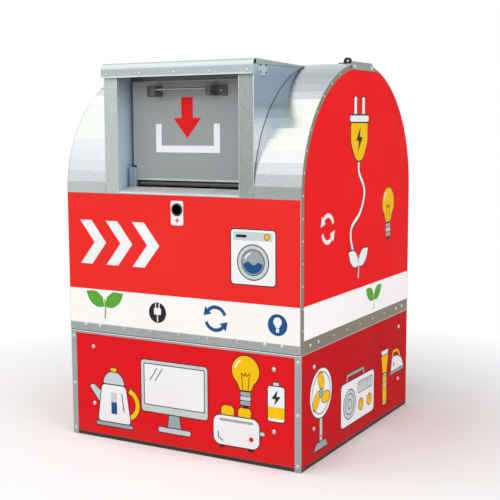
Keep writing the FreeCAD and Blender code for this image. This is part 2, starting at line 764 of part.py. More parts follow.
# hood posts, cheeks and sill
for name, sign in sides:
    body = new_body("hood_post_" + name)
    back = "-place.half_depth + dims.post_return"
    flush = "-place.skin_y"
    outer = "(place.hood_half - dims.sheet)"
    plan = (("place.post_in", "-place.half_depth"), ("place.hood_half", "-place.half_depth"),
            ("place.hood_half", flush), (outer, flush), (outer, back), (outer + " - dims.sheet", back),
            (outer + " - dims.sheet", flush), ("place.cheek_in", flush), ("place.cheek_in", back),
            ("place.post_in", back))
    pad(body, "XY_Plane", "dims.spring_height", "place.nose_top - dims.post_top_gap - dims.spring_height",
        [mirror(sign, plan)])

    body = new_body("hood_inner_cheek_" + name)
    run = "(place.half_depth - dims.cheek_run)"
    tuck = "(place.nose_rear - dims.nose_tuck)"
    face = (("-place.skin_y + dims.fit_gap", "dims.spring_height - dims.cheek_low"),
            ("-" + run, "dims.spring_height - dims.cheek_low"),
            ("-" + run, under_roof(run) + " - dims.fit_gap"),
            ("-" + tuck, under_roof(tuck) + " - dims.fit_gap"),
            ("-place.skin_y + dims.fit_gap", "place.nose_low"))
    start = "place.cheek_in" if sign > 0 else "-place.cheek_in - dims.sheet"
    pad(body, "YZ_Plane", start, "dims.sheet", [face],
        [("-place.pivot_y", "place.pivot_z", "place.bush_radius + dims.bore_gap")])

nose_rear = size("nose_rear") - size("nose_tuck")


def roof_height(y):
    return size("roof_high") + size("roof_slope") * (size("roof_front") - y)


face = ((-skin_y, spring), (-skin_y, size("nose_low")), (-nose_rear, roof_height(nose_rear) - clear),
        (-lap, roof_height(lap) - clear), (-lap, spring))
cheek = side_prism(face, hood_half - sheet, hood_half)
cheek = cheek.cut(arch(size("cheek_rim"), spring - over, hood_half - sheet - over, hood_half + over))
wing = hood_half + size("cheek_flange")
low = spring + size("flange_low")
stop = crown - size("flange_stop")
spread = ((hood_half, low), (hood_half + size("flange_start"), low), (wing, spring + size("flange_full")),
          (wing, stop), (hood_half, stop))
flange = arch_shell(sheet, 2 * sheet, spring, hood_half, wing)
flange = flange.common(front_prism(spread, -half_depth - sheet - over, 0))
cheek = cheek.fuse(flange).removeSplitter()
shaped("hood_outer_cheek_right", cheek)
shaped("hood_outer_cheek_left", cheek.mirror(Vector(0, 0, 0), X))

body = new_body("hood_sill")
profile = (("-place.half_depth", "dims.spring_height"), ("-place.half_depth", "place.sill_front"),
           ("-place.sill_end", "place.sill_rear"), ("-place.sill_end", "place.sill_rear - dims.sill_return"),
           ("-place.sill_end - dims.sheet", "place.sill_rear - dims.sill_return"),
           ("-place.sill_end - dims.sheet", "place.sill_rear - dims.sheet"),
           ("-place.skin_y", "place.sill_front - dims.sheet"), ("-place.skin_y", "dims.spring_height"))
pad(body, "YZ_Plane", "-place.sill_half", "2 * place.sill_half", [profile])

# guards at the lower corners of the flap, closing frame and seal behind it
for name, sign in sides:
    body = new_body("flap_guard_" + name)
    upright = (("-place.guard_front", "place.guard_foot"), ("-place.sill_end", "place.sill_rear"),
               ("-place.flap_back", "place.sill_rear"), ("-place.flap_back", "place.guard_top"),
               ("-place.guard_front", "place.guard_top"))
    foot = (("-place.guard_front", "place.guard_foot"), ("-place.sill_end", "place.sill_rear"),
            ("-place.sill_end", "place.sill_rear + dims.sheet"),
            ("-place.guard_front", "place.guard_foot + dims.sheet"))
    pad(body, "YZ_Plane", "place.guard_in" if sign > 0 else "-place.guard_out", "dims.sheet", [upright])
    pad(body, "YZ_Plane", "place.guard_in" if sign > 0 else "-place.sill_half",
        "place.sill_half - place.guard_in", [foot])
    strip = rect("place.guard_out - dims.guard_lap", "place.guard_out", "place.sill_rear", "place.guard_top")
    pad(body, "XZ_Plane", "place.flap_back", "dims.sheet", [mirror(sign, strip)])


def hoop(outer, inner, low, high, head_room):
    return (("-" + outer, low), ("-" + outer, high), (outer, high), (outer, low), (inner, low),
            (inner, head_room), ("-" + inner, head_room), ("-" + inner, low))


body = new_body("mouth_frame")
pad(body, "XZ_Plane", "place.mouth_back", "dims.mouth_sheet",
    [hoop("place.mouth_out", "place.mouth_in", "place.notch_z", "place.mouth_head", "place.mouth_top")])
body = new_body("mouth_seal")
pad(body, "XZ_Plane", "place.mouth_face", "dims.seal_thick",
    [hoop("(place.mouth_in + dims.seal_inset + dims.seal_width)", "(place.mouth_in + dims.seal_inset)",
          "place.notch_z + dims.seal_inset", "place.mouth_top + dims.seal_inset + dims.seal_width",
          "place.mouth_top + dims.seal_inset")])

# tilting chute: flap with folded edges, sides, floor, axle
body = new_body("chute_flap")
outline = (("-place.flap_half", "place.flap_high"), ("place.flap_half", "place.flap_high"),
           ("place.flap_half", "place.notch_z"), ("place.notch_half", "place.notch_z"),
           ("place.notch_half", "place.flap_low"), ("-place.notch_half", "place.flap_low"),
           ("-place.notch_half", "place.notch_z"), ("-place.flap_half", "place.notch_z"))
pad(body, "XZ_Plane", "place.flap_back", "dims.sheet", [outline])
pad(body, "XZ_Plane", "place.fold_back", "dims.flap_fold",
    [hoop("place.flap_half", "(place.flap_half - dims.sheet)", "place.notch_z", "place.flap_high",
          "place.flap_high - dims.sheet"),
     rect("dims.fit_gap - place.chute_in", "place.chute_in - dims.fit_gap", "place.flap_low",
          "place.flap_low + dims.sheet")])

pivot = Vector(0, -size("pivot_y"), size("pivot_z"))
reach = size("chute_reach")
angle = math.radians(size("chute_angle") + size("side_overrun"))
front = -size("flap_back")
lean = math.asin((front - pivot.y) / reach)


def sweep(turn, radius):
    return Vector(0, pivot.y + radius * math.sin(turn), pivot.z + radius * math.cos(turn))


foot = pivot.z - size("side_drop")
chords = int(size("side_chords"))
corners = [sweep(lean + (angle - lean) * i / chords, reach) for i in range(chords + 1)]
corners += [Vector(0, pivot.y, foot), Vector(0, front, foot)]
plate = flat_face(corners).extrude(Vector(sheet, 0, 0))
axle_hole = size("axle_radius") + size("bore_gap")
plate = plate.cut(rod(axle_hole, pivot - X * over, pivot + X * (sheet + over)))
for name, sign in sides:
    start = size("chute_in") if sign > 0 else -size("chute_half")
    shaped("chute_side_" + name, plate.translated(Vector(start, 0, 0)))

body = new_body("chute_floor")
lean_y = "sin(dims.chute_angle)"
lean_z = "cos(dims.chute_angle)"
start = "(dims.axle_radius + dims.floor_start)"


def floor_point(along, below):
    return ("-place.pivot_y + %s * %s + %s * %s" % (along, lean_y, below, lean_z),
            "place.pivot_z + %s * %s - %s * %s" % (along, lean_z, below, lean_y))


floor_line = (floor_point(start, "0"), floor_point("place.chute_reach", "0"),
              floor_point("place.chute_reach", "dims.sheet"), floor_point(start, "dims.sheet"))
pad(body, "YZ_Plane", "-place.chute_in", "2 * place.chute_in", [floor_line])

axle = doc.addObject("Part::Cylinder", "chute_axle")
axle.setExpression("Radius", "dims.axle_radius")
axle.setExpression("Height", "2 * place.axle_half")
axle.Placement.Rotation = FreeCAD.Rotation(Z, X)
axle.setExpression("Placement.Base.x", "-place.axle_half")
axle.setExpression("Placement.Base.y", "-place.pivot_y")
axle.setExpression("Placement.Base.z", "place.pivot_z")
nodes["chute_axle"] = axle

bushes = []
buffers = []
pins = []
bush_in = size("bush_in")
bush_out = bush_in + size("bush_length")
stop = math.radians(size("stop_angle"))
opened = math.radians(size("stop_angle") - size("open_angle"))
pin_spot = sweep(stop, size("stop_reach"))
rest_spot = sweep(opened, size("stop_reach"))
for sign in (-1, 1):
    bush = rod(size("bush_radius"), pivot + X * (sign * bush_in), pivot + X * (sign * bush_out))
    way = rod(axle_hole, pivot + X * (sign * (bush_in - over)), pivot + X * (sign * (bush_out + over)))
    bushes.append(bush.cut(way))
    pins.append(rod(size("stop_radius"), pin_spot + X * (sign * size("chute_half")),
                    pin_spot + X * (sign * (size("chute_half") + size("stop_length")))))
    near_x = size("chute_half") + size("buffer_gap")
    far_x = size("cheek_in")
    low = min(sign * near_x, sign * far_x)
    face = rest_spot.y - size("stop_radius") - clear
    buffers.append(block(low, low + far_x - near_x, face - size("buffer_depth"), face,
                         rest_spot.z - size("buffer_height") / 2, rest_spot.z + size("buffer_height") / 2))
shaped("axle_bushes", Part.makeCompound(bushes))
shaped("chute_stop_pins", Part.makeCompound(pins))
shaped("chute_buffers", Part.makeCompound(buffers))

# handle: two blocks, a rod in their sockets, screws
screws = []
for name, sign in sides:
    body = new_body("handle_block_" + name)
    low = "place.handle_z - dims.block_height / 2"
    high = "place.handle_z + dims.block_height / 2"
    pad(body, "XZ_Plane", "place.flap_face", "dims.block_base",
        [mirror(sign, rect("place.boss_in", "place.handle_half", low, high))])
    boss = pad(body, "XZ_Plane", "place.flap_face + dims.block_base", "dims.boss_depth - dims.block_base",
               [mirror(sign, rect("place.boss_in", "place.boss_in + dims.boss_length", low, high))])
    face = -size("flap_face") - size("boss_depth")
    round_edges(body, boss, lambda edge: abs(edge.CenterOfMass.y - face) < 0.05
                and abs(edge.Vertexes[0].Point.y - edge.Vertexes[-1].Point.y) < 0.05, "dims.boss_round")
    start = "place.boss_in + dims.rod_socket" if sign > 0 else "dims.cut_over - place.boss_in"
    pocket(body, "YZ_Plane", start, "dims.rod_socket + dims.cut_over",
           discs=[("-place.rod_y", "place.rod_z", "dims.rod_radius + dims.bore_gap")])
    pocket(body, "XZ_Plane", "place.flap_face + dims.block_base + dims.cut_over",
           "dims.screw_neck + dims.cut_over",
           [square_hole("%d * (place.handle_half - dims.screw_inset)" % sign, "place.handle_z")])
    spot = Vector(sign * (size("handle_half") - size("screw_inset")), -size("flap_face") - size("block_base"),
                  size("handle_z"))
    screws.append(bolt(spot, -Y, size("screw_head"), size("screw_dome"), size("screw_neck")))
shaped("handle_screws", Part.makeCompound(screws))
grip = doc.addObject("Part::Cylinder", "handle_rod")
grip.setExpression("Radius", "dims.rod_radius")
grip.setExpression("Height", "2 * (place.boss_in + dims.rod_socket - dims.fit_gap)")
grip.Placement.Rotation = FreeCAD.Rotation(Z, X)
grip.setExpression("Placement.Base.x", "-(place.boss_in + dims.rod_socket - dims.fit_gap)")
grip.setExpression("Placement.Base.y", "-place.rod_y")
grip.setExpression("Placement.Base.z", "place.rod_z")
nodes["handle_rod"] = grip

# battery port and the tray it drops into
body = new_body("battery_port")
body.setExpression("Placement.Base.z", "place.port_z")
front = "-place.half_depth"
ring = ((front + " - dims.port_flange_sheet", "dims.port_bore"), (front + " - dims.port_flange_sheet",
        "dims.port_flange"), (front, "dims.port_flange"), (front, "place.port_sleeve"),
        (front + " + dims.port_depth", "place.port_sleeve"), (front + " + dims.port_depth", "dims.port_bore"))
sketch = new_sketch(body, "YZ_Plane", "0", [ring], [])
turned = body.newObject("PartDesign::Revolution", "battery_port_turned")
turned.Profile = sketch
turned.ReferenceAxis = (next(item for item in body.Origin.OriginFeatures if item.Role == "Y_Axis"), [""])
turned.Angle = 360
sketch.Visibility = False

outside = box("tray_outside", ("-dims.tray_width / 2", "-place.skin_y", "place.tray_top - dims.tray_height"),
              ("dims.tray_width", "dims.tray_depth", "dims.tray_height"))
inside = box("tray_inside", ("-dims.tray_width / 2 + dims.tray_sheet", "-place.skin_y + dims.tray_sheet",
                             "place.tray_top - dims.tray_height + dims.tray_sheet"),
             ("dims.tray_width - 2 * dims.tray_sheet", "dims.tray_depth - 2 * dims.tray_sheet",
              "dims.tray_height"))
tray = doc.addObject("Part::Cut", "battery_tray")
tray.Base = outside
tray.Tool = inside
nodes["battery_tray"] = tray

# rear door: frame and seal on the body, folded door, hinges
body = new_body("door_frame")
pad(body, "XZ_Plane", "-place.skin_y", "dims.rail_sheet",
    [rect("-place.gap_half - dims.frame_flange", "place.gap_half + dims.frame_flange",
          "place.gap_foot - dims.frame_flange", "place.gap_head + dims.frame_flange"),
     rect("-place.gap_half", "place.gap_half", "place.gap_foot", "place.gap_head")])
pad(body, "XZ_Plane", "-place.skin_y", "place.skin_y - place.rebate_back",
    [rect("-place.gap_half - dims.sheet", "place.gap_half + dims.sheet", "place.gap_foot - dims.sheet",
          "place.gap_head + dims.sheet"),
     rect("-place.gap_half", "place.gap_half", "place.gap_foot", "place.gap_head")])
pad(body, "XZ_Plane", "-place.rebate_face", "dims.sheet",
    [rect("-place.gap_half - dims.sheet", "place.gap_half + dims.sheet", "place.gap_foot - dims.sheet",
          "place.gap_head + dims.sheet"),
     rect("-place.door_half + dims.door_lap", "place.door_half - dims.door_lap",
          "place.door_foot + dims.door_lap", "place.door_head - dims.door_lap")])
body = new_body("door_seal")
pad(body, "XZ_Plane", "-place.door_back + dims.fit_gap", "dims.seal_thick",
    [rect("-place.door_half", "place.door_half", "place.door_foot", "place.door_head"),
     rect("-place.door_half + dims.seal_width", "place.door_half - dims.seal_width",
          "place.door_foot + dims.seal_width", "place.door_head - dims.seal_width")])
body = new_body("rear_door")
pad(body, "XZ_Plane", "-place.half_depth", "dims.sheet",
    [rect("-place.door_half", "place.door_half", "place.door_foot", "place.door_head")],
    [("-place.lock_x", "place.lock_z", "dims.spindle_radius + dims.bore_gap")])
pad(body, "XZ_Plane", "-place.skin_y", "dims.door_fold",
    [rect("-place.door_half", "place.door_half", "place.door_foot", "place.door_head"),
     rect("-place.door_half + dims.sheet", "place.door_half - dims.sheet", "place.door_foot + dims.sheet",
          "place.door_head - dims.sheet")])

door_leaves = []
frame_leaves = []
hinge_pins = []
hinge_x = size("hinge_x")
hinge_y = size("hinge_y")
length = size("hinge_length")
third = length / 3
slack = size("knuckle_gap")
leaf = size("hinge_leaf")
leaf_sheet = size("hinge_sheet")
knuckle = size("knuckle_radius")
pin = size("pin_radius")
web = size("hinge_web")
room = knuckle + slack
for name in ("hinge_low", "hinge_high"):
    low = size(name)
    axis_low = Vector(hinge_x, hinge_y, low)
    bore = rod(pin + size("bore_gap"), axis_low - Z * over, axis_low + Z * (length + over))
    middle = rod(knuckle, axis_low + Z * (third + slack), axis_low + Z * (2 * third - slack))
    wing = block(hinge_x - leaf, hinge_x - web, half_depth + slack, half_depth + slack + leaf_sheet, low,
                 low + length)
    for start, end in ((low - over, low + third + slack), (low + 2 * third - slack, low + length + over)):
        wing = wing.cut(block(hinge_x - room, hinge_x, half_depth, hinge_y, start, end))
    door_leaves.append(middle.fuse(wing).cut(bore).removeSplitter())
    lower = rod(knuckle, axis_low, axis_low + Z * third)
    upper = rod(knuckle, axis_low + Z * (2 * third), axis_low + Z * length)
    wing = block(hinge_x + web, hinge_x + leaf, half_depth, half_depth + leaf_sheet, low, low + length)
    wing = wing.cut(block(hinge_x, hinge_x + room, half_depth - over, hinge_y, low + third, low + 2 * third))
    frame_leaves.append(lower.fuse(upper).fuse(wing).cut(bore).removeSplitter())
    hinge_pins.append(rod(pin, axis_low, axis_low + Z * length))
shaped("door_hinge_leaves", Part.makeCompound(door_leaves))
shaped("frame_hinge_leaves", Part.makeCompound(frame_leaves))
shaped("hinge_pins", Part.makeCompound(hinge_pins))

# lock: case on the door, lever outside, spindle through, cam inside
body = new_body("lock_case")
pad(body, "XZ_Plane", "-place.lock_face", "dims.lock_case_depth",
    [rect("-place.lock_x - dims.lock_case_width / 2", "-place.lock_x + dims.lock_case_width / 2",
          "place.lock_z - dims.lock_case_height / 2", "place.lock_z + dims.lock_case_height / 2")],
    [("-place.lock_x", "place.lock_z", "dims.spindle_radius + dims.bore_gap")])
body = new_body("lock_lever")
pad(body, "XZ_Plane", "-place.hub_back - dims.hub_depth", "dims.hub_depth",
    discs=[("-place.lock_x", "place.lock_z", "dims.hub_radius")])
arm = pad(body, "XZ_Plane", "-place.hub_back - dims.hub_depth", "dims.lever_depth",
          [rect("-place.lock_x", "-place.lock_x + dims.lever_length", "place.lock_z - dims.lever_width / 2",
                "place.lock_z + dims.lever_width / 2")])
tip = -size("lock_x") + size("lever_length")
round_edges(body, arm, lambda edge: near(edge, Y, tip, size("lock_z") - size("lever_width") / 2)
            or near(edge, Y, tip, size("lock_z") + size("lever_width") / 2), "dims.lever_round")
spindle = doc.addObject("Part::Cylinder", "lock_spindle")
spindle.setExpression("Radius", "dims.spindle_radius")
spindle.setExpression("Height", "place.hub_back - place.cam_face")
spindle.Placement.Rotation = FreeCAD.Rotation(Z, Y)
spindle.setExpression("Placement.Base.x", "-place.lock_x")
spindle.setExpression("Placement.Base.y", "place.cam_face")
spindle.setExpression("Placement.Base.z", "place.lock_z")
nodes["lock_spindle"] = spindle
body = new_body("lock_cam")
pad(body, "XZ_Plane", "-place.cam_face", "dims.cam_sheet",
    [rect("-place.lock_x - dims.cam_width / 2", "-place.lock_x + dims.cam_width / 2",
          "place.lock_z - dims.cam_length", "place.lock_z + dims.cam_width / 2")])

doc.recompute()
for item in doc.Objects:
    if "Invalid" in item.State or "Error" in item.State or not item.isValid():
        raise RuntimeError("%s does not build: %s" % (item.Label, item.State))
os.makedirs("parts", exist_ok=True)
for label, item in nodes.items():
    if item.Shape.isNull() or not item.Shape.isValid() or not item.Shape.Solids:
        raise RuntimeError(label + " has no valid solid")
for label, item in nodes.items():
    item.Shape.exportStep("parts/%s.step" % label)
    reach = item.Shape.BoundBox
    print("%-24s solids %2d  x %7.1f %7.1f  y %7.1f %7.1f  z %7.1f %7.1f" % (
        label, len(item.Shape.Solids), reach.XMin, reach.XMax, reach.YMin, reach.YMax, reach.ZMin, reach.ZMax))
print(len(nodes), "pieces")
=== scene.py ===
import bpy
import math
from mathutils import Matrix, Vector


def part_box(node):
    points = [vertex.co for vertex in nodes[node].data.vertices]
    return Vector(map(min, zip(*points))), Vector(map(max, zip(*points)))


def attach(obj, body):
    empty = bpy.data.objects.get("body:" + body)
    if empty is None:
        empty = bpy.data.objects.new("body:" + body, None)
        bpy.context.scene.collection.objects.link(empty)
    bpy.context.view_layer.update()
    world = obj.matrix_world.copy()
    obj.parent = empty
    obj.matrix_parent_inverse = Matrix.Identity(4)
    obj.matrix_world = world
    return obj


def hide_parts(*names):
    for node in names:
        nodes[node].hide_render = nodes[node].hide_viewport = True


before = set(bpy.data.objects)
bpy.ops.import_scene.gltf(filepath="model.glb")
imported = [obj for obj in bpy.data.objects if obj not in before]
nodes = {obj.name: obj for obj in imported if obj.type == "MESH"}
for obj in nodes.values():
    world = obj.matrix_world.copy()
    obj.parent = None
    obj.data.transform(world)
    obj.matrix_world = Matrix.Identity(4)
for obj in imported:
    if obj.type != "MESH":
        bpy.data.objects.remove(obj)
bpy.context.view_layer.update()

# faces and heights that pieces are laid on, read from the nodes
frontFace = -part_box("front_panel")[0].y
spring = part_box("front_panel")[1].z
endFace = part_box("right_end_wall")[1].x
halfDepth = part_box("right_end_wall")[1].y
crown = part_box("vault_skin")[1].z
baseFace = -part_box("base_front_panel")[0].y
portLow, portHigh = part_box("battery_port")
portHeight = (portLow.z + portHigh.z) / 2
flapLow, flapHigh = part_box("chute_flap")
flapFace = -flapLow.y
guardLow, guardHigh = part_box("flap_guard_right")
postLow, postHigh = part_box("hood_post_right")
plateLow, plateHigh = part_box("lifting_plate_right")
facetCount = 36               # flat facets of the vault from its front foot to its rear foot
bothSides = (("right", 1), ("left", -1))
print("frame loaded,", len(nodes), "nodes")


def facetEdge(number):
    # depth and height of the edge under a facet, counted from the foot up
    turn = math.pi * number / facetCount
    return halfDepth * math.cos(turn), spring + (crown - spring) * math.sin(turn)


# small tools

def clearSelection():
    if bpy.context.object and bpy.context.object.mode != "OBJECT":
        bpy.ops.object.mode_set(mode="OBJECT")
    bpy.ops.object.select_all(action="DESELECT")


def takeUp(piece):
    clearSelection()
    piece.select_set(True)
    bpy.context.view_layer.objects.active = piece
    return piece


def fixPlace(piece):
    takeUp(piece)
    bpy.ops.object.transform_apply(location=True, rotation=True, scale=True)
    return piece


def joinPieces(pieces, name):
    clearSelection()
    for piece in pieces:
        piece.select_set(True)
    bpy.context.view_layer.objects.active = pieces[0]
    if len(pieces) > 1:
        bpy.ops.object.join()
    pieces[0].name = name
    pieces[0].data.name = name
    return pieces[0]


def copyPiece(piece):
    twin = piece.copy()
    twin.data = piece.data.copy()
    bpy.context.scene.collection.objects.link(twin)
    return twin


def dress(piece, material, body="body", stands=()):
    piece.data.materials.clear()
    piece.data.materials.append(material)
    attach(piece, body)
    if stands:
        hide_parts(*stands)
    return piece


def srgb(red, green, blue):
    # screen levels to linear colour
    out = []
    for value in (red, green, blue):
        share = value / 255
        out.append(share / 12.92 if share <= 0.04045 else ((share + 0.055) / 1.055) ** 2.4)
    return (out[0], out[1], out[2], 1)


def shaded(colour, factor):
    return (colour[0] * factor, colour[1] * factor, colour[2] * factor, 1)


# material tools

def startMaterial(name):
    material = bpy.data.materials.new(name)
    material.use_nodes = True
    tree = material.node_tree
    return material, tree, tree.nodes["Principled BSDF"]


def objectSpace(tree, scale=(1, 1, 1)):
    where = tree.nodes.new("ShaderNodeTexCoord")
    mapping = tree.nodes.new("ShaderNodeMapping")
    mapping.inputs["Scale"].default_value = scale
    tree.links.new(where.outputs["Object"], mapping.inputs["Vector"])
    return mapping.outputs["Vector"]


def noise(tree, space, scale, detail=3, rough=0.5):
    node = tree.nodes.new("ShaderNodeTexNoise")
    node.inputs["Scale"].default_value = scale
    node.inputs["Detail"].default_value = detail
    node.inputs["Roughness"].default_value = rough
    tree.links.new(space, node.inputs["Vector"])
    return node.outputs["Fac"]


def cells(tree, space, scale):
    node = tree.nodes.new("ShaderNodeTexVoronoi")
    node.inputs["Scale"].default_value = scale
    tree.links.new(space, node.inputs["Vector"])
    grey = tree.nodes.new("ShaderNodeRGBToBW")
    tree.links.new(node.outputs["Color"], grey.inputs["Color"])
    return grey.outputs["Val"]


def ramp(tree, source, stops):
    node = tree.nodes.new("ShaderNodeValToRGB")
    marks = node.color_ramp.elements
    while len(marks) < len(stops):
        marks.new(0.5)
    for mark, (place, colour) in zip(marks, stops):
        mark.position = place
        mark.color = colour
    tree.links.new(source, node.inputs["Fac"])
    return node.outputs["Color"]


def spread(tree, source, low, high, fromLow=0.3, fromHigh=0.7):
    node = tree.nodes.new("ShaderNodeMapRange")
    node.inputs["From Min"].default_value = fromLow
    node.inputs["From Max"].default_value = fromHigh
    node.inputs["To Min"].default_value = low
    node.inputs["To Max"].default_value = high
    tree.links.new(source, node.inputs["Value"])
    return node.outputs["Result"]


def math2(tree, kind, first, second):
    node = tree.nodes.new("ShaderNodeMath")
    node.operation = kind
    for socket, value in zip(node.inputs, (first, second)):
        if isinstance(value, (int, float)):
            socket.default_value = value
        else:
            tree.links.new(value, socket)
    return node.outputs["Value"]


def mixColour(tree, factor, first, second, kind="MIX"):
    node = tree.nodes.new("ShaderNodeMix")
    node.data_type = "RGBA"
    node.blend_type = kind
    sockets = (node.inputs[0], node.inputs[6], node.inputs[7])      # factor and both colours
    for socket, value in zip(sockets, (factor, first, second)):
        if isinstance(value, (int, float, tuple)):
            socket.default_value = value
        else:
            tree.links.new(value, socket)
    return node.outputs[2]


def addBump(tree, shader, height, strength, distance):
    node = tree.nodes.new("ShaderNodeBump")
    node.inputs["Strength"].default_value = strength
    node.inputs["Distance"].default_value = distance
    tree.links.new(height, node.inputs["Height"])
    tree.links.new(node.outputs["Normal"], shader.inputs["Normal"])


# finishes

plainWhite = (1, 1, 1, 1)
zinc = {
    "cloudScale": 4,
    "cloudDetail": 4,
    "cloudCast": (1, 0.9, 0.8),       # clouds dull red a little more than blue
    "streakScale": 6,
    # the vault's painted reflections at its two ends blend between leftEnd and rightEnd
    "leftEnd": -0.5,          # casts of the two ends blend between these
    "rightEnd": 0.5,
    "bump": 0.03,
    "bumpDepth": 0.001,
}
vinyl = {
    "cloudScale": 2.2,
    "cloudLow": 0.97,
    "cloudHigh": 1.02,
    "grimeAndShade": srgb(120, 104, 92),
    "grimeAndShadeScale": 14,
    "glossScale": 9,
    "smoother": 0.06,
    "rougher": 0.08,
    "specular": 0.02,
    "grainScale": 420,
    "bump": 0.03,
    "bumpDepth": 0.0004,
}
paint = {
    "cloudScale": 18,
    "glossScale": 40,
    "smoother": 0.1,
    "rougher": 0.12,
    "specular": 0.3,
    "bump": 0.12,
    "bumpDepth": 0.0006,
}


def multiplied(tree, colour, paintedCast):
    return mixColour(tree, 1.0, colour, paintedCast, "MULTIPLY")


def axes(tree, space):
    node = tree.nodes.new("ShaderNodeSeparateXYZ")
    tree.links.new(space, node.inputs["Vector"])
    return node.outputs


# a colour cast by height, used to paint reflection and shade into the base colour
def paintedLightByHeight(tree, height, paintedLight, stepped):
    low = paintedLight[0][0]
    high = paintedLight[-1][0]
    stops = [((place - low) / (high - low), (*paintedCast, 1)) for place, paintedCast in paintedLight]
    colour = ramp(tree, spread(tree, height, 0, 1, low, high), stops)
    if stepped:
        colour.node.color_ramp.interpolation = "CONSTANT"
    return colour


def galvanised(name, tone, spangle, rough, contrast=0.05, streak=(3, 60, 60), wear=0.05, metal=1.0,
               cloudy=0.05, paintedLight=(), leftPaintedLight=(), stepped=False):
    material, tree, shader = startMaterial(name)
    space = objectSpace(tree)
    crystal = cells(tree, space, spangle)
    cloud = noise(tree, space, zinc["cloudScale"], zinc["cloudDetail"])
    lines = noise(tree, objectSpace(tree, streak), zinc["streakScale"])
    dull = [1 - cloudy * share for share in zinc["cloudCast"]]
    worn = [1 - wear] * 3
    dark = shaded(tone, 1 - contrast)
    light = shaded(tone, 1 + contrast)
    colour = ramp(tree, crystal, ((0.1, dark), (0.5, tone), (0.9, light)))
    colour = multiplied(tree, colour, ramp(tree, cloud, ((0.3, (*dull, 1)), (0.7, plainWhite))))
    colour = multiplied(tree, colour, ramp(tree, lines, ((0.3, (*worn, 1)), (0.65, plainWhite))))
    # painted light: casts by height, blended across between two ends, multiply the zinc colour
    if paintedLight:
        place = axes(tree, space)
        paintedCast = paintedLightByHeight(tree, place["Z"], paintedLight, stepped)
        if leftPaintedLight:
            toRight = spread(tree, place["X"], 0, 1, zinc["leftEnd"], zinc["rightEnd"])
            paintedCast = mixColour(tree, toRight, paintedLightByHeight(tree, place["Z"], leftPaintedLight, stepped), paintedCast)
        colour = multiplied(tree, colour, paintedCast)
    tree.links.new(colour, shader.inputs["Base Color"])
    halves = [math2(tree, "MULTIPLY", source, 0.5) for source in (crystal, lines)]
    grain = math2(tree, "ADD", *halves)
    tree.links.new(spread(tree, grain, *rough), shader.inputs["Roughness"])
    shader.inputs["Metallic"].default_value = metal
    addBump(tree, shader, lines, zinc["bump"], zinc["bumpDepth"])
    return material


def coated(tree, shader, space, coat, base, rough, grain):
    # what printed film and paint have alike
    tree.links.new(base, shader.inputs["Base Color"])
    gloss = noise(tree, space, coat["glossScale"], 4)
    level = spread(tree, gloss, rough - coat["smoother"], rough + coat["rougher"])
    tree.links.new(level, shader.inputs["Roughness"])
    shader.inputs["Specular IOR Level"].default_value = coat["specular"]
    addBump(tree, shader, grain, coat["bump"], coat["bumpDepth"])


def printedFilm(name, colour, rough=0.5, dustAndShade=0.0, dustAndShadeFrom=0.02, dustAndShadeTo=0.12):
    material, tree, shader = startMaterial(name)
    space = objectSpace(tree)
    stops = ((0.3, shaded(colour, vinyl["cloudLow"])), (0.7, shaded(colour, vinyl["cloudHigh"])))
    base = ramp(tree, noise(tree, space, vinyl["cloudScale"]), stops)
    # a brownish darkening that fades out between two heights: dirt on the base films, painted shadow under
    # the header on the flap
    if dustAndShade:
        fade = spread(tree, axes(tree, space)["Z"], dustAndShade, 0, dustAndShadeFrom, dustAndShadeTo)
        patches = spread(tree, noise(tree, space, vinyl["grimeAndShadeScale"], 5, 0.65), 0.3, 1)
        base = mixColour(tree, math2(tree, "MULTIPLY", fade, patches), base, vinyl["grimeAndShade"])
    coated(tree, shader, space, vinyl, base, rough, noise(tree, space, vinyl["grainScale"], 2))
    return material


def painted(name, colour, rough=0.5, scratch=0.25, metal=0.0, grain=160):
    material, tree, shader = startMaterial(name)
    space = objectSpace(tree)
    stops = ((0.3, shaded(colour, 1 - scratch)), (0.7, shaded(colour, 1 + scratch)))
    base = ramp(tree, noise(tree, space, paint["cloudScale"], 5, 0.6), stops)
    shader.inputs["Metallic"].default_value = metal
    coated(tree, shader, space, paint, base, rough, noise(tree, space, grain))
    return material


# painted reflection: a slight cast of the vault's facets from the foot up, at the left end and at the
# right
vaultPaintedReflections = {
    0: ((1.05, 1.12, 1.17), (0.75, 0.79, 0.82)),
    1: ((1.19, 1.23, 1.34), (0.9, 0.94, 1.01)),
    2: ((0.83, 0.85, 0.93), (0.79, 0.8, 0.89)),
    3: ((0.83, 0.86, 0.95), (0.95, 0.95, 0.98)),
    4: ((0.86, 0.9, 0.97), (0.98, 0.99, 1.0)),
    5: ((0.95, 0.97, 0.98), (1.0, 1.0, 1.0)),
    9: ((1.09, 1.12, 1.2),) * 2,      # alike at both ends from here up
    10: ((1.03, 1.12, 1.23),) * 2,
    11: ((0.92, 1.03, 1.13),) * 2,
    12: ((0.8, 0.92, 1.04),) * 2,
    15: ((0.77, 0.9, 1.01),) * 2,
    18: ((0.77, 0.9, 1.01),) * 2,
}
# by height: painted reflection makes the outer cheeks lighter towards the foot, painted shade makes the
# inner ones darker under the roof
cheekPaintedReflection = ((1.24, (1.9, 1.6, 1.38)), (1.42, (1.5, 1.3, 1.2)), (1.53, (0.92, 0.93, 0.95)))
innerCheekPaintedShade = ((1.5, (1, 1, 1)), (1.66, (0.66, 0.62, 0.58)))


def facetPaintedReflections(end):
    # a ramp is read in steps, so a change between facets is set half a step low
    rampSteps = 256
    paintedLight = []
    for number, pair in vaultPaintedReflections.items():
        height = facetEdge(number)[1]
        if 0 < number < facetCount // 2:
            height -= (crown - spring) / rampSteps / 2
        paintedLight.append((height, pair[end]))
    return paintedLight


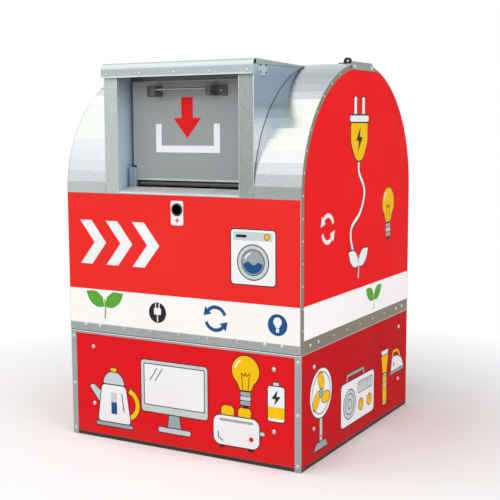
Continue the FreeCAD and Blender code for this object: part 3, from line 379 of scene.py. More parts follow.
upright = (30, 30, 4)         # streaks that run up the sheet
finishes = {
    "vault": galvanised("vaultZinc", srgb(187, 188, 183), 230, (0.19, 0.24), wear=0.03,
                        paintedLight=facetPaintedReflections(1), leftPaintedLight=facetPaintedReflections(0), stepped=True),
    "bare": galvanised("bareZinc", srgb(168, 172, 171), 200, (0.36, 0.5), streak=upright),
    "sheet": galvanised("pressedZinc", srgb(184, 192, 187), 150, (0.42, 0.56), contrast=0.1,
                        streak=upright, wear=0.03, cloudy=0.08),
    # a darker copy of pressedZinc for the right post: painted shade, with cloudier zinc
    "sheetShaded": galvanised("shadedZinc", srgb(157, 165, 161), 150, (0.42, 0.56), contrast=0.14,
                           streak=upright, wear=0.03, cloudy=0.17),
    "roof": galvanised("roofZinc", srgb(173, 181, 181), 120, (0.3, 0.42), contrast=0.03),
    # the bluish tone is painted reflection of the sky
    "cheek": galvanised("cheekZinc", srgb(178, 198, 216), 95, (0.16, 0.21), contrast=0.02, wear=0.03,
                        metal=0.8, paintedLight=cheekPaintedReflection),
    # the bluish tone is painted light from the sky, the darker top is painted shade under the roof
    "innerCheek": galvanised("innerCheekZinc", srgb(196, 216, 234), 90, (0.4, 0.52), contrast=0.02,
                             wear=0.03, metal=0.15, paintedLight=innerCheekPaintedShade),
    "sill": galvanised("wornZinc", srgb(220, 223, 225), 60, (0.3, 0.5), contrast=0.06, streak=(60, 4, 4),
                       wear=0.16, metal=0.25),
    # the bluish tone is painted light from the sky, as on the inner cheeks
    "guard": galvanised("guardZinc", srgb(154, 174, 190), 90, (0.4, 0.52), contrast=0.02, wear=0.03,
                        metal=0.15),
    "plate": galvanised("plateZinc", srgb(150, 158, 152), 110, (0.4, 0.55), contrast=0.04),
    "joining": galvanised("joiningZinc", srgb(196, 206, 216), 150, (0.34, 0.48), contrast=0.12, wear=0.06,
                          metal=0.5, cloudy=0.1),
    "border": galvanised("borderZinc", srgb(140, 131, 116), 90, (0.46, 0.6), contrast=0.06),
    "inner": galvanised("innerZinc", srgb(120, 122, 122), 60, (0.4, 0.55), contrast=0.12),
    "fixing": galvanised("boltZinc", srgb(196, 199, 199), 260, (0.12, 0.24), contrast=0.1),
    "turned": galvanised("turnedSteel", srgb(132, 132, 134), 300, (0.26, 0.4), streak=(4, 260, 260)),
    "darkSteel": painted("darkSteel", srgb(58, 55, 52), rough=0.55, metal=0.3),
    "axle": painted("axleSteel", srgb(104, 99, 95), scratch=0.15, metal=0.2),
    "moulded": painted("mouldedGrey", srgb(81, 81, 82), rough=0.55, scratch=0.12, grain=700),
    "port": painted("portBlack", srgb(22, 22, 23), rough=0.4, scratch=0.2, grain=600),
    "rubber": painted("sealRubber", srgb(26, 26, 27), rough=0.75, scratch=0.2, grain=300),
    "sealant": painted("sealantGrey", srgb(52, 66, 84), rough=0.6, scratch=0.15, grain=500),
    "lock": painted("lockPaint", srgb(64, 64, 67), rough=0.42, scratch=0.15, metal=0.2, grain=400),
    "red": printedFilm("redFilm", srgb(234, 48, 44)),
    "redBase": printedFilm("redBaseFilm", srgb(223, 29, 35), dustAndShade=0.1),
    # darker red for the side films of the base: painted shade
    "shadedRedSide": printedFilm("shadedRedSideFilm", srgb(196, 23, 30), dustAndShade=0.1),
    "redEnd": printedFilm("redEndFilm", srgb(238, 31, 34)),
    "white": printedFilm("whiteFilm", srgb(247, 246, 244)),
    "whiteEnd": printedFilm("whiteEndFilm", srgb(254, 253, 252)),
    # darker and warmer towards the top: painted shadow of the header over the flap, with some hand grime
    # round the handle
    "flapGrey": printedFilm("greyFilm", srgb(156, 160, 161), dustAndShade=0.5, dustAndShadeFrom=1.632, dustAndShadeTo=1.545),
}
nodeFinish = {
    "vault": ("vault_skin",),
    "bare": ("front_panel", "base_front_panel", "base_rear_panel", "base_left_panel",
             "base_right_panel"),
    "sheet": ("rear_wall", "hood_post_left", "hood_post_right", "chute_flap", "rear_door"),
    "roof": ("hood_roof",),
    "cheek": ("hood_outer_cheek_left", "hood_outer_cheek_right"),
    "innerCheek": ("hood_inner_cheek_left", "hood_inner_cheek_right"),
    "guard": ("flap_guard_left", "flap_guard_right"),
    "plate": ("lifting_plate_left", "lifting_plate_right"),
    "sill": ("hood_sill",),
    "border": ("left_end_wall", "right_end_wall"),
    "inner": ("mouth_frame", "battery_tray", "door_frame", "floor_pan", "base_rails", "upper_rails",
              "left_arch_rib", "right_arch_rib", "ridge_beam", "chute_side_left", "chute_side_right",
              "chute_floor"),
    "fixing": ("base_panel_bolts", "corner_strip_bolts", "seam_bolts", "lifting_plate_bolts",
               "handle_screws", "door_hinge_leaves", "frame_hinge_leaves", "hinge_pins"),
    "turned": ("handle_rod", "chute_stop_pins", "lock_spindle", "lock_cam"),
    "darkSteel": ("base_plinth", "floor_bearers", "lifting_lugs"),
    "axle": ("chute_axle",),
    "moulded": ("handle_block_left", "handle_block_right"),
    "port": ("battery_port", "axle_bushes"),
    "rubber": ("mouth_seal", "door_seal", "chute_buffers"),
    "lock": ("lock_case", "lock_lever"),
}
for finish, names in nodeFinish.items():
    for name in names:
        nodes[name].data.materials.clear()
        nodes[name].data.materials.append(finishes[finish])
print("finishes on the nodes")


# flat outlines in a panel's own plane, across and up in metres

def arcPoints(centre, radius, start, stop, count):
    turns = [math.radians(start + (stop - start) * i / count) for i in range(count + 1)]
    return [(centre[0] + radius * math.cos(turn), centre[1] + radius * math.sin(turn)) for turn in turns]


def plainBox(left, right, low, high):
    return [(left, low), (right, low), (right, high), (left, high)]


def roundBox(across, up, wide, tall, corner=0.004):
    least = 0.00001           # straight run left between two corners
    corner = min(corner, wide / 2 - least, tall / 2 - least)
    points = []
    for sideX, sideY, start in ((1, 1, 0), (-1, 1, 90), (-1, -1, 180), (1, -1, 270)):
        centre = (across + sideX * (wide / 2 - corner), up + sideY * (tall / 2 - corner))
        points += arcPoints(centre, corner, start, start + 90, 5)
    return points


def disc(across, up, radius, count=40):
    return arcPoints((across, up), radius, 0, 360 - 360 / count, count - 1)


def oval(across, up, wide, tall, tilt=0, count=32):
    lean = math.radians(tilt)
    points = []
    for i in range(count):
        turn = 2 * math.pi * i / count
        along = wide / 2 * math.cos(turn)
        high = tall / 2 * math.sin(turn)
        points.append((across + along * math.cos(lean) - high * math.sin(lean),
                       up + along * math.sin(lean) + high * math.cos(lean)))
    return points


def softened(points, radius, steps=5):
    # polygon with every corner eased
    mostRun = 0.45            # share of a side that a corner may take
    out = []
    for i, corner in enumerate(points):
        here = Vector(corner)
        back = Vector(points[i - 1]) - here
        ahead = Vector(points[(i + 1) % len(points)]) - here
        reach = min(radius, back.length * mostRun, ahead.length * mostRun)
        start = here + back.normalized() * reach
        end = here + ahead.normalized() * reach
        for step in range(steps + 1):
            share = step / steps
            spot = start.lerp(here, share).lerp(here.lerp(end, share), share)
            out.append((spot.x, spot.y))
    return out


def bentLine(points, steps=10):
    # smooth line through a few points
    out = []
    for i in range(len(points) - 1):
        p0 = Vector(points[max(i - 1, 0)])
        p1 = Vector(points[i])
        p2 = Vector(points[i + 1])
        p3 = Vector(points[min(i + 2, len(points) - 1)])
        for step in range(steps):
            t = step / steps
            spot = 0.5 * (2 * p1 + (p2 - p0) * t + (2 * p0 - 5 * p1 + 4 * p2 - p3) * t * t
                          + (3 * p1 - p0 - 3 * p2 + p3) * t * t * t)
            out.append((spot.x, spot.y))
    return out + [points[-1]]


def stroke(points, width):
    # outline of a line drawn with an even width
    sharpest = 0.4            # keeps a sharp corner from running out
    left = []
    right = []
    for i, point in enumerate(points):
        here = Vector(point)
        runs = []
        if i > 0:
            runs.append((here - Vector(points[i - 1])).normalized())
        if i < len(points) - 1:
            runs.append((Vector(points[i + 1]) - here).normalized())
        along = (runs[0] + runs[-1]).normalized()
        across = Vector((-along.y, along.x))
        reach = width / 2 / max(sharpest, along.dot(runs[0]))
        left.append(tuple(here + across * reach))
        right.append(tuple(here - across * reach))
    return left + right[::-1]


def grown(points, by):
    # the same outline moved outwards, whichever way round it runs
    sharpest = 0.45
    sides = zip(points[-1:] + points[:-1], points)
    area = sum(x0 * y1 - x1 * y0 for (x0, y0), (x1, y1) in sides)
    way = 1 if area > 0 else -1
    out = []
    for i, point in enumerate(points):
        here = Vector(point)
        before = (here - Vector(points[i - 1])).normalized()
        after = (Vector(points[(i + 1) % len(points)]) - here).normalized()
        normal = Vector((before.y + after.y, -before.x - after.x)).normalized()
        reach = by / max(sharpest, normal.dot(Vector((before.y, -before.x))))
        out.append(tuple(here + normal * reach * way))
    return out


def moved(outlines, across, up, flip=1, scale=1):
    return [[(across + flip * scale * x, up + scale * y) for x, y in points] for points in outlines]


# flat vinyl cut to an outline and laid on a panel

facing = {
    "front": (math.pi / 2, 0, 0),
    "right": (math.pi / 2, 0, math.pi / 2),
    "rear": (math.pi / 2, 0, math.pi),
    "left": (math.pi / 2, 0, -math.pi / 2),
}
outward = {
    "front": Vector((0, -1, 0)),
    "right": Vector((1, 0, 0)),
    "rear": Vector((0, 1, 0)),
    "left": Vector((-1, 0, 0)),
}


def curveMesh(name, curve):
    piece = bpy.data.objects.new(name, curve)
    bpy.context.scene.collection.objects.link(piece)
    takeUp(piece)
    bpy.ops.object.convert(target="MESH")
    return bpy.context.object


def cutVinyl(name, outlines, thick):
    curve = bpy.data.curves.new(name, "CURVE")
    curve.dimensions = "2D"
    curve.fill_mode = "BOTH"
    curve.extrude = thick / 2
    for points in outlines:
        spline = curve.splines.new("POLY")
        spline.points.add(len(points) - 1)
        for dot, (across, up) in zip(spline.points, points):
            dot.co = (across, up, 0, 1)
        spline.use_cyclic_u = True
    return curveMesh(name, curve)


def layOn(piece, side, surface, lift):
    thick = max(vertex.co.z for vertex in piece.data.vertices)
    piece.rotation_euler = facing[side]
    piece.location = outward[side] * (surface + lift + thick)
    return fixPlace(piece)


# printed films on the panels

film = {
    "thick": 0.00035,
    "split": 0.698,       # red above, white below
    "frontLeft": 0.5985,
    "frontRight": 0.594,
    "frontLow": 0.538,
    "frontHigh": 1.1385,
    "portHole": 0.0272,
    "plateFoot": 1.011,
    "endInset": 0.023,
    "rearInset": 0.004,
    "endLow": 0.556,
    "endTop": 1.681,
    "baseLow": 0.0185,
    "baseHigh": 0.486,
    "sideHigh": 0.495,
    "baseHalf": 0.5685,
    "sideHalf": 0.606,
    "flapSide": 0.008,
    "flapTop": 0.0025,
    "flapFoot": 0.009,
    "flapCorner": 0.004,
}


def archOutline(leftInset, rightInset, low, top, steps=72):
    points = [(leftInset - halfDepth, low)]
    for i in range(steps + 1):
        turn = math.pi * i / steps
        inset = leftInset if 2 * i <= steps else rightInset
        points.append(((inset - halfDepth) * math.cos(turn),
                       min(top, spring + (crown - spring - inset) * math.sin(turn))))
    return points + [(halfDepth - rightInset, low)]


def flapOutline():
    # narrower at the foot, between the two guards
    wide = flapHigh.x - film["flapSide"]
    narrow = guardLow.x - film["flapSide"]
    top = flapHigh.z - film["flapTop"]
    notch = guardHigh.z + film["flapSide"]
    foot = flapLow.z + film["flapFoot"]
    half = [(narrow, foot), (narrow, notch), (wide, notch), (wide, top)]
    return softened([(-narrow, foot)] + half + [(-x, y) for x, y in half[:0:-1]], film["flapCorner"])


def laidFilm(name, outlines, side, surface, finish, body="body"):
    piece = layOn(cutVinyl(name, outlines, film["thick"]), side, surface, 0)
    return dress(piece, finishes[finish], body)


redFront = plainBox(-film["frontLeft"], film["frontRight"], film["split"], film["frontHigh"])
whiteFront = plainBox(-film["frontLeft"], film["frontRight"], film["frontLow"], film["split"])
shadedRedSide = plainBox(-film["sideHalf"], film["sideHalf"], film["baseLow"], film["sideHigh"])
redBase = plainBox(-film["baseHalf"], film["baseHalf"], film["baseLow"], film["baseHigh"])
laidFilm("front_film_red", [redFront, disc(0, portHeight, film["portHole"])], "front", frontFace, "red")
laidFilm("front_film_white", [whiteFront], "front", frontFace, "white")
for side in ("left", "right"):
    leftInset, rightInset = film["endInset"], film["rearInset"]
    if side == "left":
        leftInset, rightInset = rightInset, leftInset
    redEnd = archOutline(leftInset, rightInset, film["split"], film["endTop"])
    whiteEnd = plainBox(leftInset - halfDepth, halfDepth - rightInset, film["endLow"], film["split"])
    laidFilm("end_film_red_" + side, [redEnd], side, endFace, "redEnd")
    laidFilm("end_film_white_" + side, [whiteEnd], side, endFace, "whiteEnd")
    laidFilm("base_film_" + side, [shadedRedSide], side, endFace, "shadedRedSide")
for side in ("front", "rear"):
    laidFilm("base_film_" + side, [redBase], side, baseFace, "redBase")
laidFilm("flap_film", [flapOutline()], "front", flapFace, "flapGrey", "chute")
print("films laid")


# pictures printed on the films, each a list of inks and outlines from the back to the front

inkColours = {
    "line": srgb(52, 46, 48),
    "white": srgb(240, 240, 243),
    "pale": srgb(200, 209, 210),
    "grey": srgb(160, 170, 173),
    "yellow": srgb(246, 194, 22),
    "red": srgb(226, 36, 38),
    "green": srgb(96, 166, 62),
    "blue": srgb(38, 86, 140),
}
inkRough = 0.46
inkStep = 0.00005             # each layer stands a little higher than the one before
lineWidth = 0.0045
inks = {}
for name, colour in inkColours.items():
    inks[name] = printedFilm("ink" + name.capitalize(), colour, inkRough)


def printPicture(name, layers, side, surface, across, up, flip=1, scale=1, body="body"):
    laid = {}
    for rank, (ink, outlines) in enumerate(layers):
        piece = cutVinyl(name, moved(outlines, across, up, flip, scale), inkStep * (rank + 1))
        laid.setdefault(ink, []).append(layOn(piece, side, surface, film["thick"]))
    for ink, pieces in laid.items():
        dress(joinPieces(pieces, name + "_" + ink), inks[ink], body)


def outlined(ink, points, line=lineWidth):
    return [("line", [grown(points, line)]), (ink, [points])]


def drawnLine(points, width=lineWidth):
    return ("line", [stroke(points, width)])


def kettlePicture():
    body = softened([(-0.092, 0.02), (0.092, 0.02), (0.066, 0.195), (-0.066, 0.195)], 0.02)
    lid = arcPoints((0, 0.2), 0.058, 0, 180, 16)
    spout = softened([(-0.074, 0.1), (-0.138, 0.178), (-0.116, 0.19), (-0.062, 0.152)], 0.008)
    grip = stroke(arcPoints((0.066, 0.115), 0.066, -72, 72, 16), 0.022)
    layers = outlined("yellow", grip) + outlined("pale", spout) + outlined("white", body)
    layers += outlined("pale", lid) + outlined("yellow", roundBox(0, 0.268, 0.034, 0.016, 0.007))
    layers += outlined("grey", roundBox(0, 0.008, 0.206, 0.016, 0.006))
    layers.append(("pale", [plainBox(-0.016, 0.016, 0.06, 0.16)]))
    layers.append(("blue", [plainBox(-0.016, 0.016, 0.06, 0.115)]))
    return layers + [drawnLine([(0.044, 0.16), (0.056, 0.075)])]


def monitorPicture():
    stand = [(-0.035, 0.02), (0.035, 0.02), (0.026, 0.09), (-0.026, 0.09)]
    layers = outlined("grey", stand) + outlined("pale", roundBox(0, 0.012, 0.17, 0.022, 0.008))
    layers += outlined("pale", roundBox(0, 0.205, 0.35, 0.236, 0.016))
    layers.append(("line", [roundBox(0, 0.213, 0.322, 0.192, 0.006)]))
    layers.append(("white", [roundBox(0, 0.213, 0.314, 0.184, 0.004)]))
    layers.append(("yellow", [disc(0.145, 0.1, 0.006)]))
    for start in (-0.128, -0.1):
        layers.append(drawnLine([(start, 0.232), (start + 0.04, 0.29)], 0.004))
    return layers


def toasterPicture():
    layers = []
    for across in (-0.042, 0.042):
        layers += outlined("yellow", roundBox(across, 0.15, 0.062, 0.078, 0.02))
    layers += outlined("white", roundBox(0, 0.078, 0.226, 0.13, 0.034))
    layers += [("grey", [roundBox(0, 0.124, 0.166, 0.012, 0.005)])]
    layers += outlined("pale", roundBox(0.128, 0.086, 0.022, 0.016, 0.005), 0.003)
    layers.append(("red", [disc(0.074, 0.054, 0.011)]))
    layers.append(drawnLine([(-0.09, 0.07), (-0.09, 0.044), (-0.066, 0.03)]))
    for across in (-0.072, 0.072):
        layers.append(("line", [roundBox(across, 0.006, 0.026, 0.012, 0.003)]))
    return layers


def bulbPicture():
    glass = arcPoints((0, 0.17), 0.066, -52, 232, 30) + [(-0.026, 0.086), (0.026, 0.086)]
    layers = outlined("yellow", glass)
    for step in range(3):
        ink = "pale" if step % 2 else "grey"
        layers += outlined(ink, roundBox(0, 0.07 - 0.02 * step, 0.05, 0.018, 0.006), 0.003)
    layers += [("line", [roundBox(0, 0.012, 0.026, 0.012, 0.005)])]
    filament = [(-0.013, 0.09), (-0.02, 0.16), (-0.007, 0.147), (0, 0.162), (0.007, 0.147), (0.02, 0.16),
                (0.013, 0.09)]
    layers.append(drawnLine(filament, 0.0032))
    return layers + [("white", [stroke(arcPoints((0, 0.17), 0.05, 118, 168, 8), 0.007)])]


def batteryPicture():
    layers = outlined("pale", roundBox(0, 0.158, 0.028, 0.02, 0.004))
    layers += outlined("white", roundBox(0, 0.075, 0.078, 0.15, 0.01))
    layers += [("yellow", [plainBox(-0.039, 0.039, 0.012, 0.062)])]
    bolt = [(0.008, 0.138), (-0.022, 0.096), (-0.003, 0.096), (-0.01, 0.068), (0.022, 0.108),
            (0.002, 0.108)]
    return layers + [("line", [bolt])]


def fanPicture():
    layers = outlined("pale", roundBox(0, 0.08, 0.024, 0.16, 0.004))
    layers += outlined("grey", softened([(-0.07, 0), (0.07, 0), (0.045, 0.03), (-0.045, 0.03)], 0.008))
    layers += outlined("white", disc(0, 0.245, 0.108))
    for turn in (90, 210, 330):
        across, up = arcPoints((0, 0.245), 0.053, turn, turn, 1)[0]
        layers += outlined("yellow", oval(across, up, 0.092, 0.05, turn + 24), 0.003)
    layers += outlined("grey", disc(0, 0.245, 0.019), 0.003)
    ring = [disc(0, 0.245, 0.092), disc(0, 0.245, 0.0885)]
    return layers + [("line", ring), ("red", [disc(0, 0.055, 0.006)])]


def radioPicture():
    layers = [drawnLine([(0.12, 0.19), (0.19, 0.36)], 0.006), ("line", [disc(0.19, 0.362, 0.008)])]
    layers += outlined("grey", stroke([(-0.13, 0.2), (-0.12, 0.236), (0.06, 0.236), (0.07, 0.2)], 0.013))
    layers += outlined("white", roundBox(0, 0.105, 0.38, 0.2, 0.022))
    layers += outlined("pale", disc(-0.095, 0.1, 0.066))
    for radius in (0.05, 0.024):
        layers.append(("line", [disc(-0.095, 0.1, radius), disc(-0.095, 0.1, radius - 0.004)]))
    layers += outlined("pale", roundBox(0.085, 0.155, 0.17, 0.05, 0.006), 0.003)
    layers += [("red", [plainBox(0.108, 0.112, 0.136, 0.174)])]
    for step in range(6):
        layers.append(("line", [plainBox(0.018 + 0.025 * step, 0.0205 + 0.025 * step, 0.16, 0.174)]))
    for across in (0.035, 0.135):
        layers += outlined("yellow", disc(across, 0.07, 0.026), 0.0035)
        layers.append(drawnLine([(across, 0.07), (across + 0.012, 0.086)], 0.004))
    return layers


def torchPicture():
    beam = [(-0.034, 0.25), (0.034, 0.25), (0.046, 0.272), (-0.046, 0.272)]
    layers = outlined("white", beam)
    head = softened([(-0.024, 0.16), (0.024, 0.16), (0.044, 0.246), (-0.044, 0.246)], 0.005)
    layers += outlined("yellow", head)
    layers += outlined("yellow", roundBox(0, 0.078, 0.048, 0.156, 0.01))
    for low in (0.138, 0.012):
        layers.append(("grey", [plainBox(-0.024, 0.024, low, low + 0.012)]))
    return layers + outlined("pale", roundBox(0, 0.098, 0.018, 0.036, 0.008), 0.003)


def ironPicture():
    sole = softened([(-0.12, 0), (0.12, 0), (0.135, 0.018), (-0.115, 0.018)], 0.006)
    shell = [(-0.105, 0.02)] + bentLine([(0.13, 0.02), (0.085, 0.085), (0.0, 0.115), (-0.085, 0.118)], 8)
    layers = outlined("white", shell) + outlined("grey", sole)
    grip = bentLine([(-0.075, 0.115), (-0.065, 0.155), (0.02, 0.15), (0.055, 0.105)])
    layers += outlined("yellow", stroke(grip, 0.017))
    return layers + [("pale", [disc(-0.055, 0.066, 0.02)]), ("red", [disc(-0.055, 0.066, 0.008)])]


def leafPair(ink):
    stem = stroke(bentLine([(0, -0.02), (0.004, 0.03), (0.0, 0.07)]), 0.007)
    leaves = []
    for way in (1, -1):
        lobe = [(0, 0)] + bentLine([(0.012, 0.045), (0.05, 0.07), (0.105, 0.068)])
        lobe += bentLine([(0.105, 0.068), (0.085, 0.025), (0.045, -0.002), (0.004, 0.0)])[1:]
        leaves.append([(way * x, 0.035 + y) for x, y in lobe])
    return [(ink, [stem]), (ink, [leaves[0]]), (ink, [leaves[1]])], leaves


def plugPicture():
    cord = bentLine([(0, 0.01), (0.0, -0.05), (0.06, -0.13), (0.02, -0.22), (-0.08, -0.29), (-0.06, -0.38),
                     (0.0, -0.43)])
    layers = outlined("white", stroke(cord, 0.017))
    for across in (-0.042, 0.042):
        layers += outlined("white", roundBox(across, 0.225, 0.027, 0.09, 0.009), 0.006)
    body = [(-0.034, 0), (0.034, 0), (0.088, 0.075), (0.088, 0.17), (-0.088, 0.17), (-0.088, 0.075)]
    layers += outlined("yellow", softened(body, 0.026), 0.006)
    layers += outlined("white", roundBox(0, 0.178, 0.2, 0.026, 0.01), 0.006)
    bolt = [(0.014, 0.145), (-0.034, 0.085), (-0.004, 0.085), (-0.014, 0.035), (0.034, 0.1), (0.004, 0.1)]
    layers.append(("line", [bolt]))
    growth, leaves = leafPair("white")
    layers += [("line", moved([grown(lobe, 0.005)], 0, -0.49)) for lobe in leaves]
    return layers + [(ink, moved(outlines, 0, -0.49)) for ink, outlines in growth]


def turningArrows(ink):
    layers = []
    for start in (20, 200):
        shaft = stroke(arcPoints((0, 0), 0.05, start, start + 115, 18), 0.016)
        tip = math.radians(start + 115)
        along = Vector((-math.sin(tip), math.cos(tip)))
        out = Vector((math.cos(tip), math.sin(tip)))
        root = out * 0.05
        head = [tuple(root + out * 0.022), tuple(root + along * 0.036), tuple(root - out * 0.022)]
        layers += [(ink, [shaft]), (ink, [head])]
    return layers


def washerPicture():
    layers = outlined("white", roundBox(0, 0.115, 0.21, 0.23, 0.014))
    layers += [("pale", [roundBox(0, 0.203, 0.186, 0.036, 0.006)])]
    layers += outlined("yellow", disc(0.066, 0.203, 0.011), 0.003)
    layers.append(("line", [roundBox(-0.056, 0.203, 0.05, 0.012, 0.003)]))
    layers += outlined("pale", disc(0, 0.094, 0.072)) + outlined("grey", disc(0, 0.094, 0.052), 0.004)
    wave = bentLine([(-0.047, 0.085), (-0.024, 0.097), (0.002, 0.083), (0.026, 0.095), (0.047, 0.086)])
    layers.append(("blue", [wave + arcPoints((0, 0.094), 0.048, -10, -170, 20)]))
    return layers + [("white", [stroke(arcPoints((0, 0.094), 0.04, 105, 160, 8), 0.006)])]


def chevronPicture():
    layers = []
    for step in range(3):
        start = 0.145 * step
        mark = [(0, 0), (0.065, 0), (0.145, 0.1), (0.065, 0.2), (0, 0.2), (0.08, 0.1)]
        layers.append(("white", moved([mark], start, 0)))
    return layers


def portPlate():
    hole = disc(0, portHeight - film["plateFoot"], film["portHole"])
    bolt = [(0.006, 0.034), (-0.013, 0.0185), (-0.001, 0.0185), (-0.006, 0.006), (0.013, 0.0225),
            (0.001, 0.0225)]
    return [("white", [roundBox(0, 0.053, 0.064, 0.106, 0.009), hole]), ("red", [bolt])]


def dropArrow():
    arrow = [(-0.03, 0.19), (0.03, 0.19), (0.03, 0.1), (0.072, 0.1), (0, 0.012), (-0.072, 0.1),
             (-0.03, 0.1)]
    tray = [(-0.15, 0.075), (-0.15, -0.035), (0.15, -0.035), (0.15, 0.075)]
    return [("red", [arrow]), ("white", [stroke(tray, 0.03)])]


def roundMark(ink, picture, scale, up):
    layers = [(ink, [disc(0, 0, 0.046)])]
    for part, outlines in picture:
        if part != "line":
            layers.append(("white", moved(outlines, 0, up, 1, scale)))
    return layers


def smallPlug():
    body = softened([(-0.03, 0.02), (0.03, 0.02), (0.03, 0.07), (-0.03, 0.07)], 0.012)
    shapes = [body] + [roundBox(across, 0.088, 0.008, 0.036, 0.003) for across in (-0.015, 0.015)]
    shapes.append(stroke([(0, 0.022), (0, -0.03)], 0.009))
    return [("white", [shape]) for shape in shapes]


frontPictures = (
    ("front_chevrons", chevronPicture(), -0.53, 0.815),
    ("front_washer", washerPicture(), 0.375, 0.778),
    ("port_plate", portPlate(), 0, film["plateFoot"]),
    ("band_leaf", leafPair("green")[0], -0.4, 0.585),
    ("band_plug", roundMark("line", smallPlug(), 0.62, -0.022), -0.11, 0.618),
    ("band_arrows", turningArrows("blue"), 0.19, 0.618),
    ("band_bulb", roundMark("blue", bulbPicture(), 0.3, -0.038), 0.49, 0.618),
)
basePictures = (
    ("base_kettle", kettlePicture(), -0.36, 0.062),
    ("base_monitor", monitorPicture(), -0.03, 0.075),
    ("base_toaster", toasterPicture(), 0.288, 0.055),
    ("base_bulb", bulbPicture(), 0.335, 0.235),
    ("base_battery", batteryPicture(), 0.482, 0.205),
)
endPictures = (
    ("end_plug", plugPicture(), -0.03, 1.28, 1.05),
    ("end_arrows", turningArrows("white"), -0.36, 1.0, 1.15),
    ("end_bulb", bulbPicture(), 0.33, 0.88, 1.1),
    ("end_leaf", leafPair("green")[0], 0.16, 0.586, 0.9),
    ("side_fan", fanPicture(), -0.42, 0.055, 1),
    ("side_radio", radioPicture(), -0.02, 0.075, 1),
    ("side_torch", torchPicture(), 0.31, 0.07, 1),
    ("side_iron", ironPicture(), 0.47, 0.2, 0.72),
)
for name, layers, across, up in frontPictures:
    printPicture(name, layers, "front", frontFace, across, up)
printPicture("drop_arrow", dropArrow(), "front", flapFace, 0, 1.372, body="chute")
for name, layers, across, up in basePictures:
    printPicture(name, layers, "front", baseFace, across, up)
for side, flip in bothSides:
    for name, layers, across, up, scale in endPictures:
        printPicture(name + "_" + side, layers, side, endFace, flip * across, up, flip, scale)
print("pictures printed")


# domed bolts and blind rivets, each turned once and copied to its places

bolts = {
    "base_panel_bolts": {"radius": 0.0098, "rise": 0.0055, "front": (0.472,), "end": (0.490,),
                         "heights": (0.160, 0.428)},
    "corner_strip_bolts": {"radius": 0.0094, "rise": 0.0044, "front": (0.584,), "end": (),
                           "heights": (0.026, 0.244, 0.468)},
    "seam_bolts": {"radius": 0.0094, "rise": 0.0055, "front": (0.510, 0.430), "end": (0.528, 0.448),
                   "heights": (0.528,), "endShare": 0.8},
    "lifting_plate_bolts": {"radius": 0.009, "rise": 0.005, "front": (), "end": (0.096,),
                            "heights": (1.694,)},
}
dome = {
    "steps": 28,
    "rings": 6,
    "washerGrow": 1.06,
    "washerThick": 0.0011,
    "washerEase": (0.985, 0.75),      # how far in and how far up the washer's edge is eased
}
rivets = {
    "radius": 0.0052,
    "rise": 0.0026,
    "steps": 12,
    "shape": ((1, 0), (0.95, 0.45), (0.6, 0.9)),      # shares of radius and rise
    "borderInset": 0.0115,
    "borderPitch": 0.0925,
    "borderLow": 0.6,
    "borderSteps": 180,
    "seamHeight": 0.528,
    "seamReach": (-0.295, -0.148, 0, 0.148, 0.295),
    "headerHeight": 1.663,
    "headerFace": 0.623,
    "headerReach": (-0.357, -0.1785, 0, 0.1785, 0.357),
}


def smoothed(piece, degrees):
    takeUp(piece)
    bpy.ops.object.shade_smooth_by_angle(angle=math.radians(degrees))
    return piece


def turnedPiece(name, profile, steps):
    # a plane merged to one point, drawn out along the profile and spun
    clearSelection()
    bpy.ops.mesh.primitive_plane_add(size=0.01)
    piece = bpy.context.object
    piece.name = name
    bpy.ops.object.mode_set(mode="EDIT")
    bpy.ops.mesh.merge(type="CENTER")
    bpy.ops.transform.translate(value=(profile[0][0], 0, profile[0][1]))
    for (radius, height), (nextRadius, nextHeight) in zip(profile, profile[1:]):
        step = (nextRadius - radius, 0, nextHeight - height)
        bpy.ops.mesh.extrude_vertices_move(TRANSFORM_OT_translate={"value": step})
    bpy.ops.mesh.select_all(action="SELECT")
    bpy.ops.mesh.spin(steps=steps, angle=2 * math.pi, center=(0, 0, 0), axis=(0, 0, 1))
    bpy.ops.mesh.select_all(action="SELECT")
    bpy.ops.mesh.remove_doubles(threshold=0.000002)
    bpy.ops.mesh.normals_make_consistent(inside=False)
    bpy.ops.object.mode_set(mode="OBJECT")
    return smoothed(piece, 40)


def domePattern(radius, rise, steps):
    # washer rim, then a low dome up to the middle
    rim = radius * dome["washerGrow"]
    foot = dome["washerThick"]
    easeIn, easeUp = dome["washerEase"]
    profile = [(0, 0), (rim, 0), (rim, foot * easeUp), (rim * easeIn, foot), (radius, foot)]
    for i in range(1, dome["rings"]):
        turn = math.pi / 2 * i / dome["rings"]
        profile.append((radius * math.cos(turn), foot + (rise - foot) * math.sin(turn)))
    return turnedPiece("dome", profile + [(0, rise)], steps)


def rivetPattern():
    wall = [(across * rivets["radius"], up * rivets["rise"]) for across, up in rivets["shape"]]
    return turnedPiece("rivet", [(0, 0)] + wall + [(0, rivets["rise"])], rivets["steps"])


def setOut(pattern, spots, name, finish="fixing", stands=(), endShare=1):
    copies = []
    for place, side in spots:
        twin = copyPiece(pattern)
        if side in ("left", "right"):
            twin.scale = (endShare, endShare, endShare)
        twin.rotation_euler = outward[side].to_track_quat("Z", "Y").to_euler()
        twin.location = place
        copies.append(fixPlace(twin))
    bpy.data.objects.remove(pattern, do_unlink=True)
    return dress(joinPieces(copies, name), finishes[finish], "body", stands)


def frontPair(reach, seat, height):
    return [((reach, -seat, height), "front"), ((reach, seat, height), "rear")]


def endPair(reach, seat, height):
    return [((seat, reach, height), "right"), ((-seat, reach, height), "left")]


for node, plan in bolts.items():
    frontSeat = baseFace if node == "base_panel_bolts" else frontFace
    endSeat = plateHigh.x if node == "lifting_plate_bolts" else endFace
    spots = []
    for way in (-1, 1):
        for height in plan["heights"]:
            for reach in plan["front"]:
                spots += frontPair(way * reach, frontSeat, height)
            for reach in plan["end"]:
                spots += endPair(way * reach, endSeat, height)
    pattern = domePattern(plan["radius"], plan["rise"], dome["steps"])
    setOut(pattern, spots, "domed_" + node, stands=(node,), endShare=plan.get("endShare", 1))


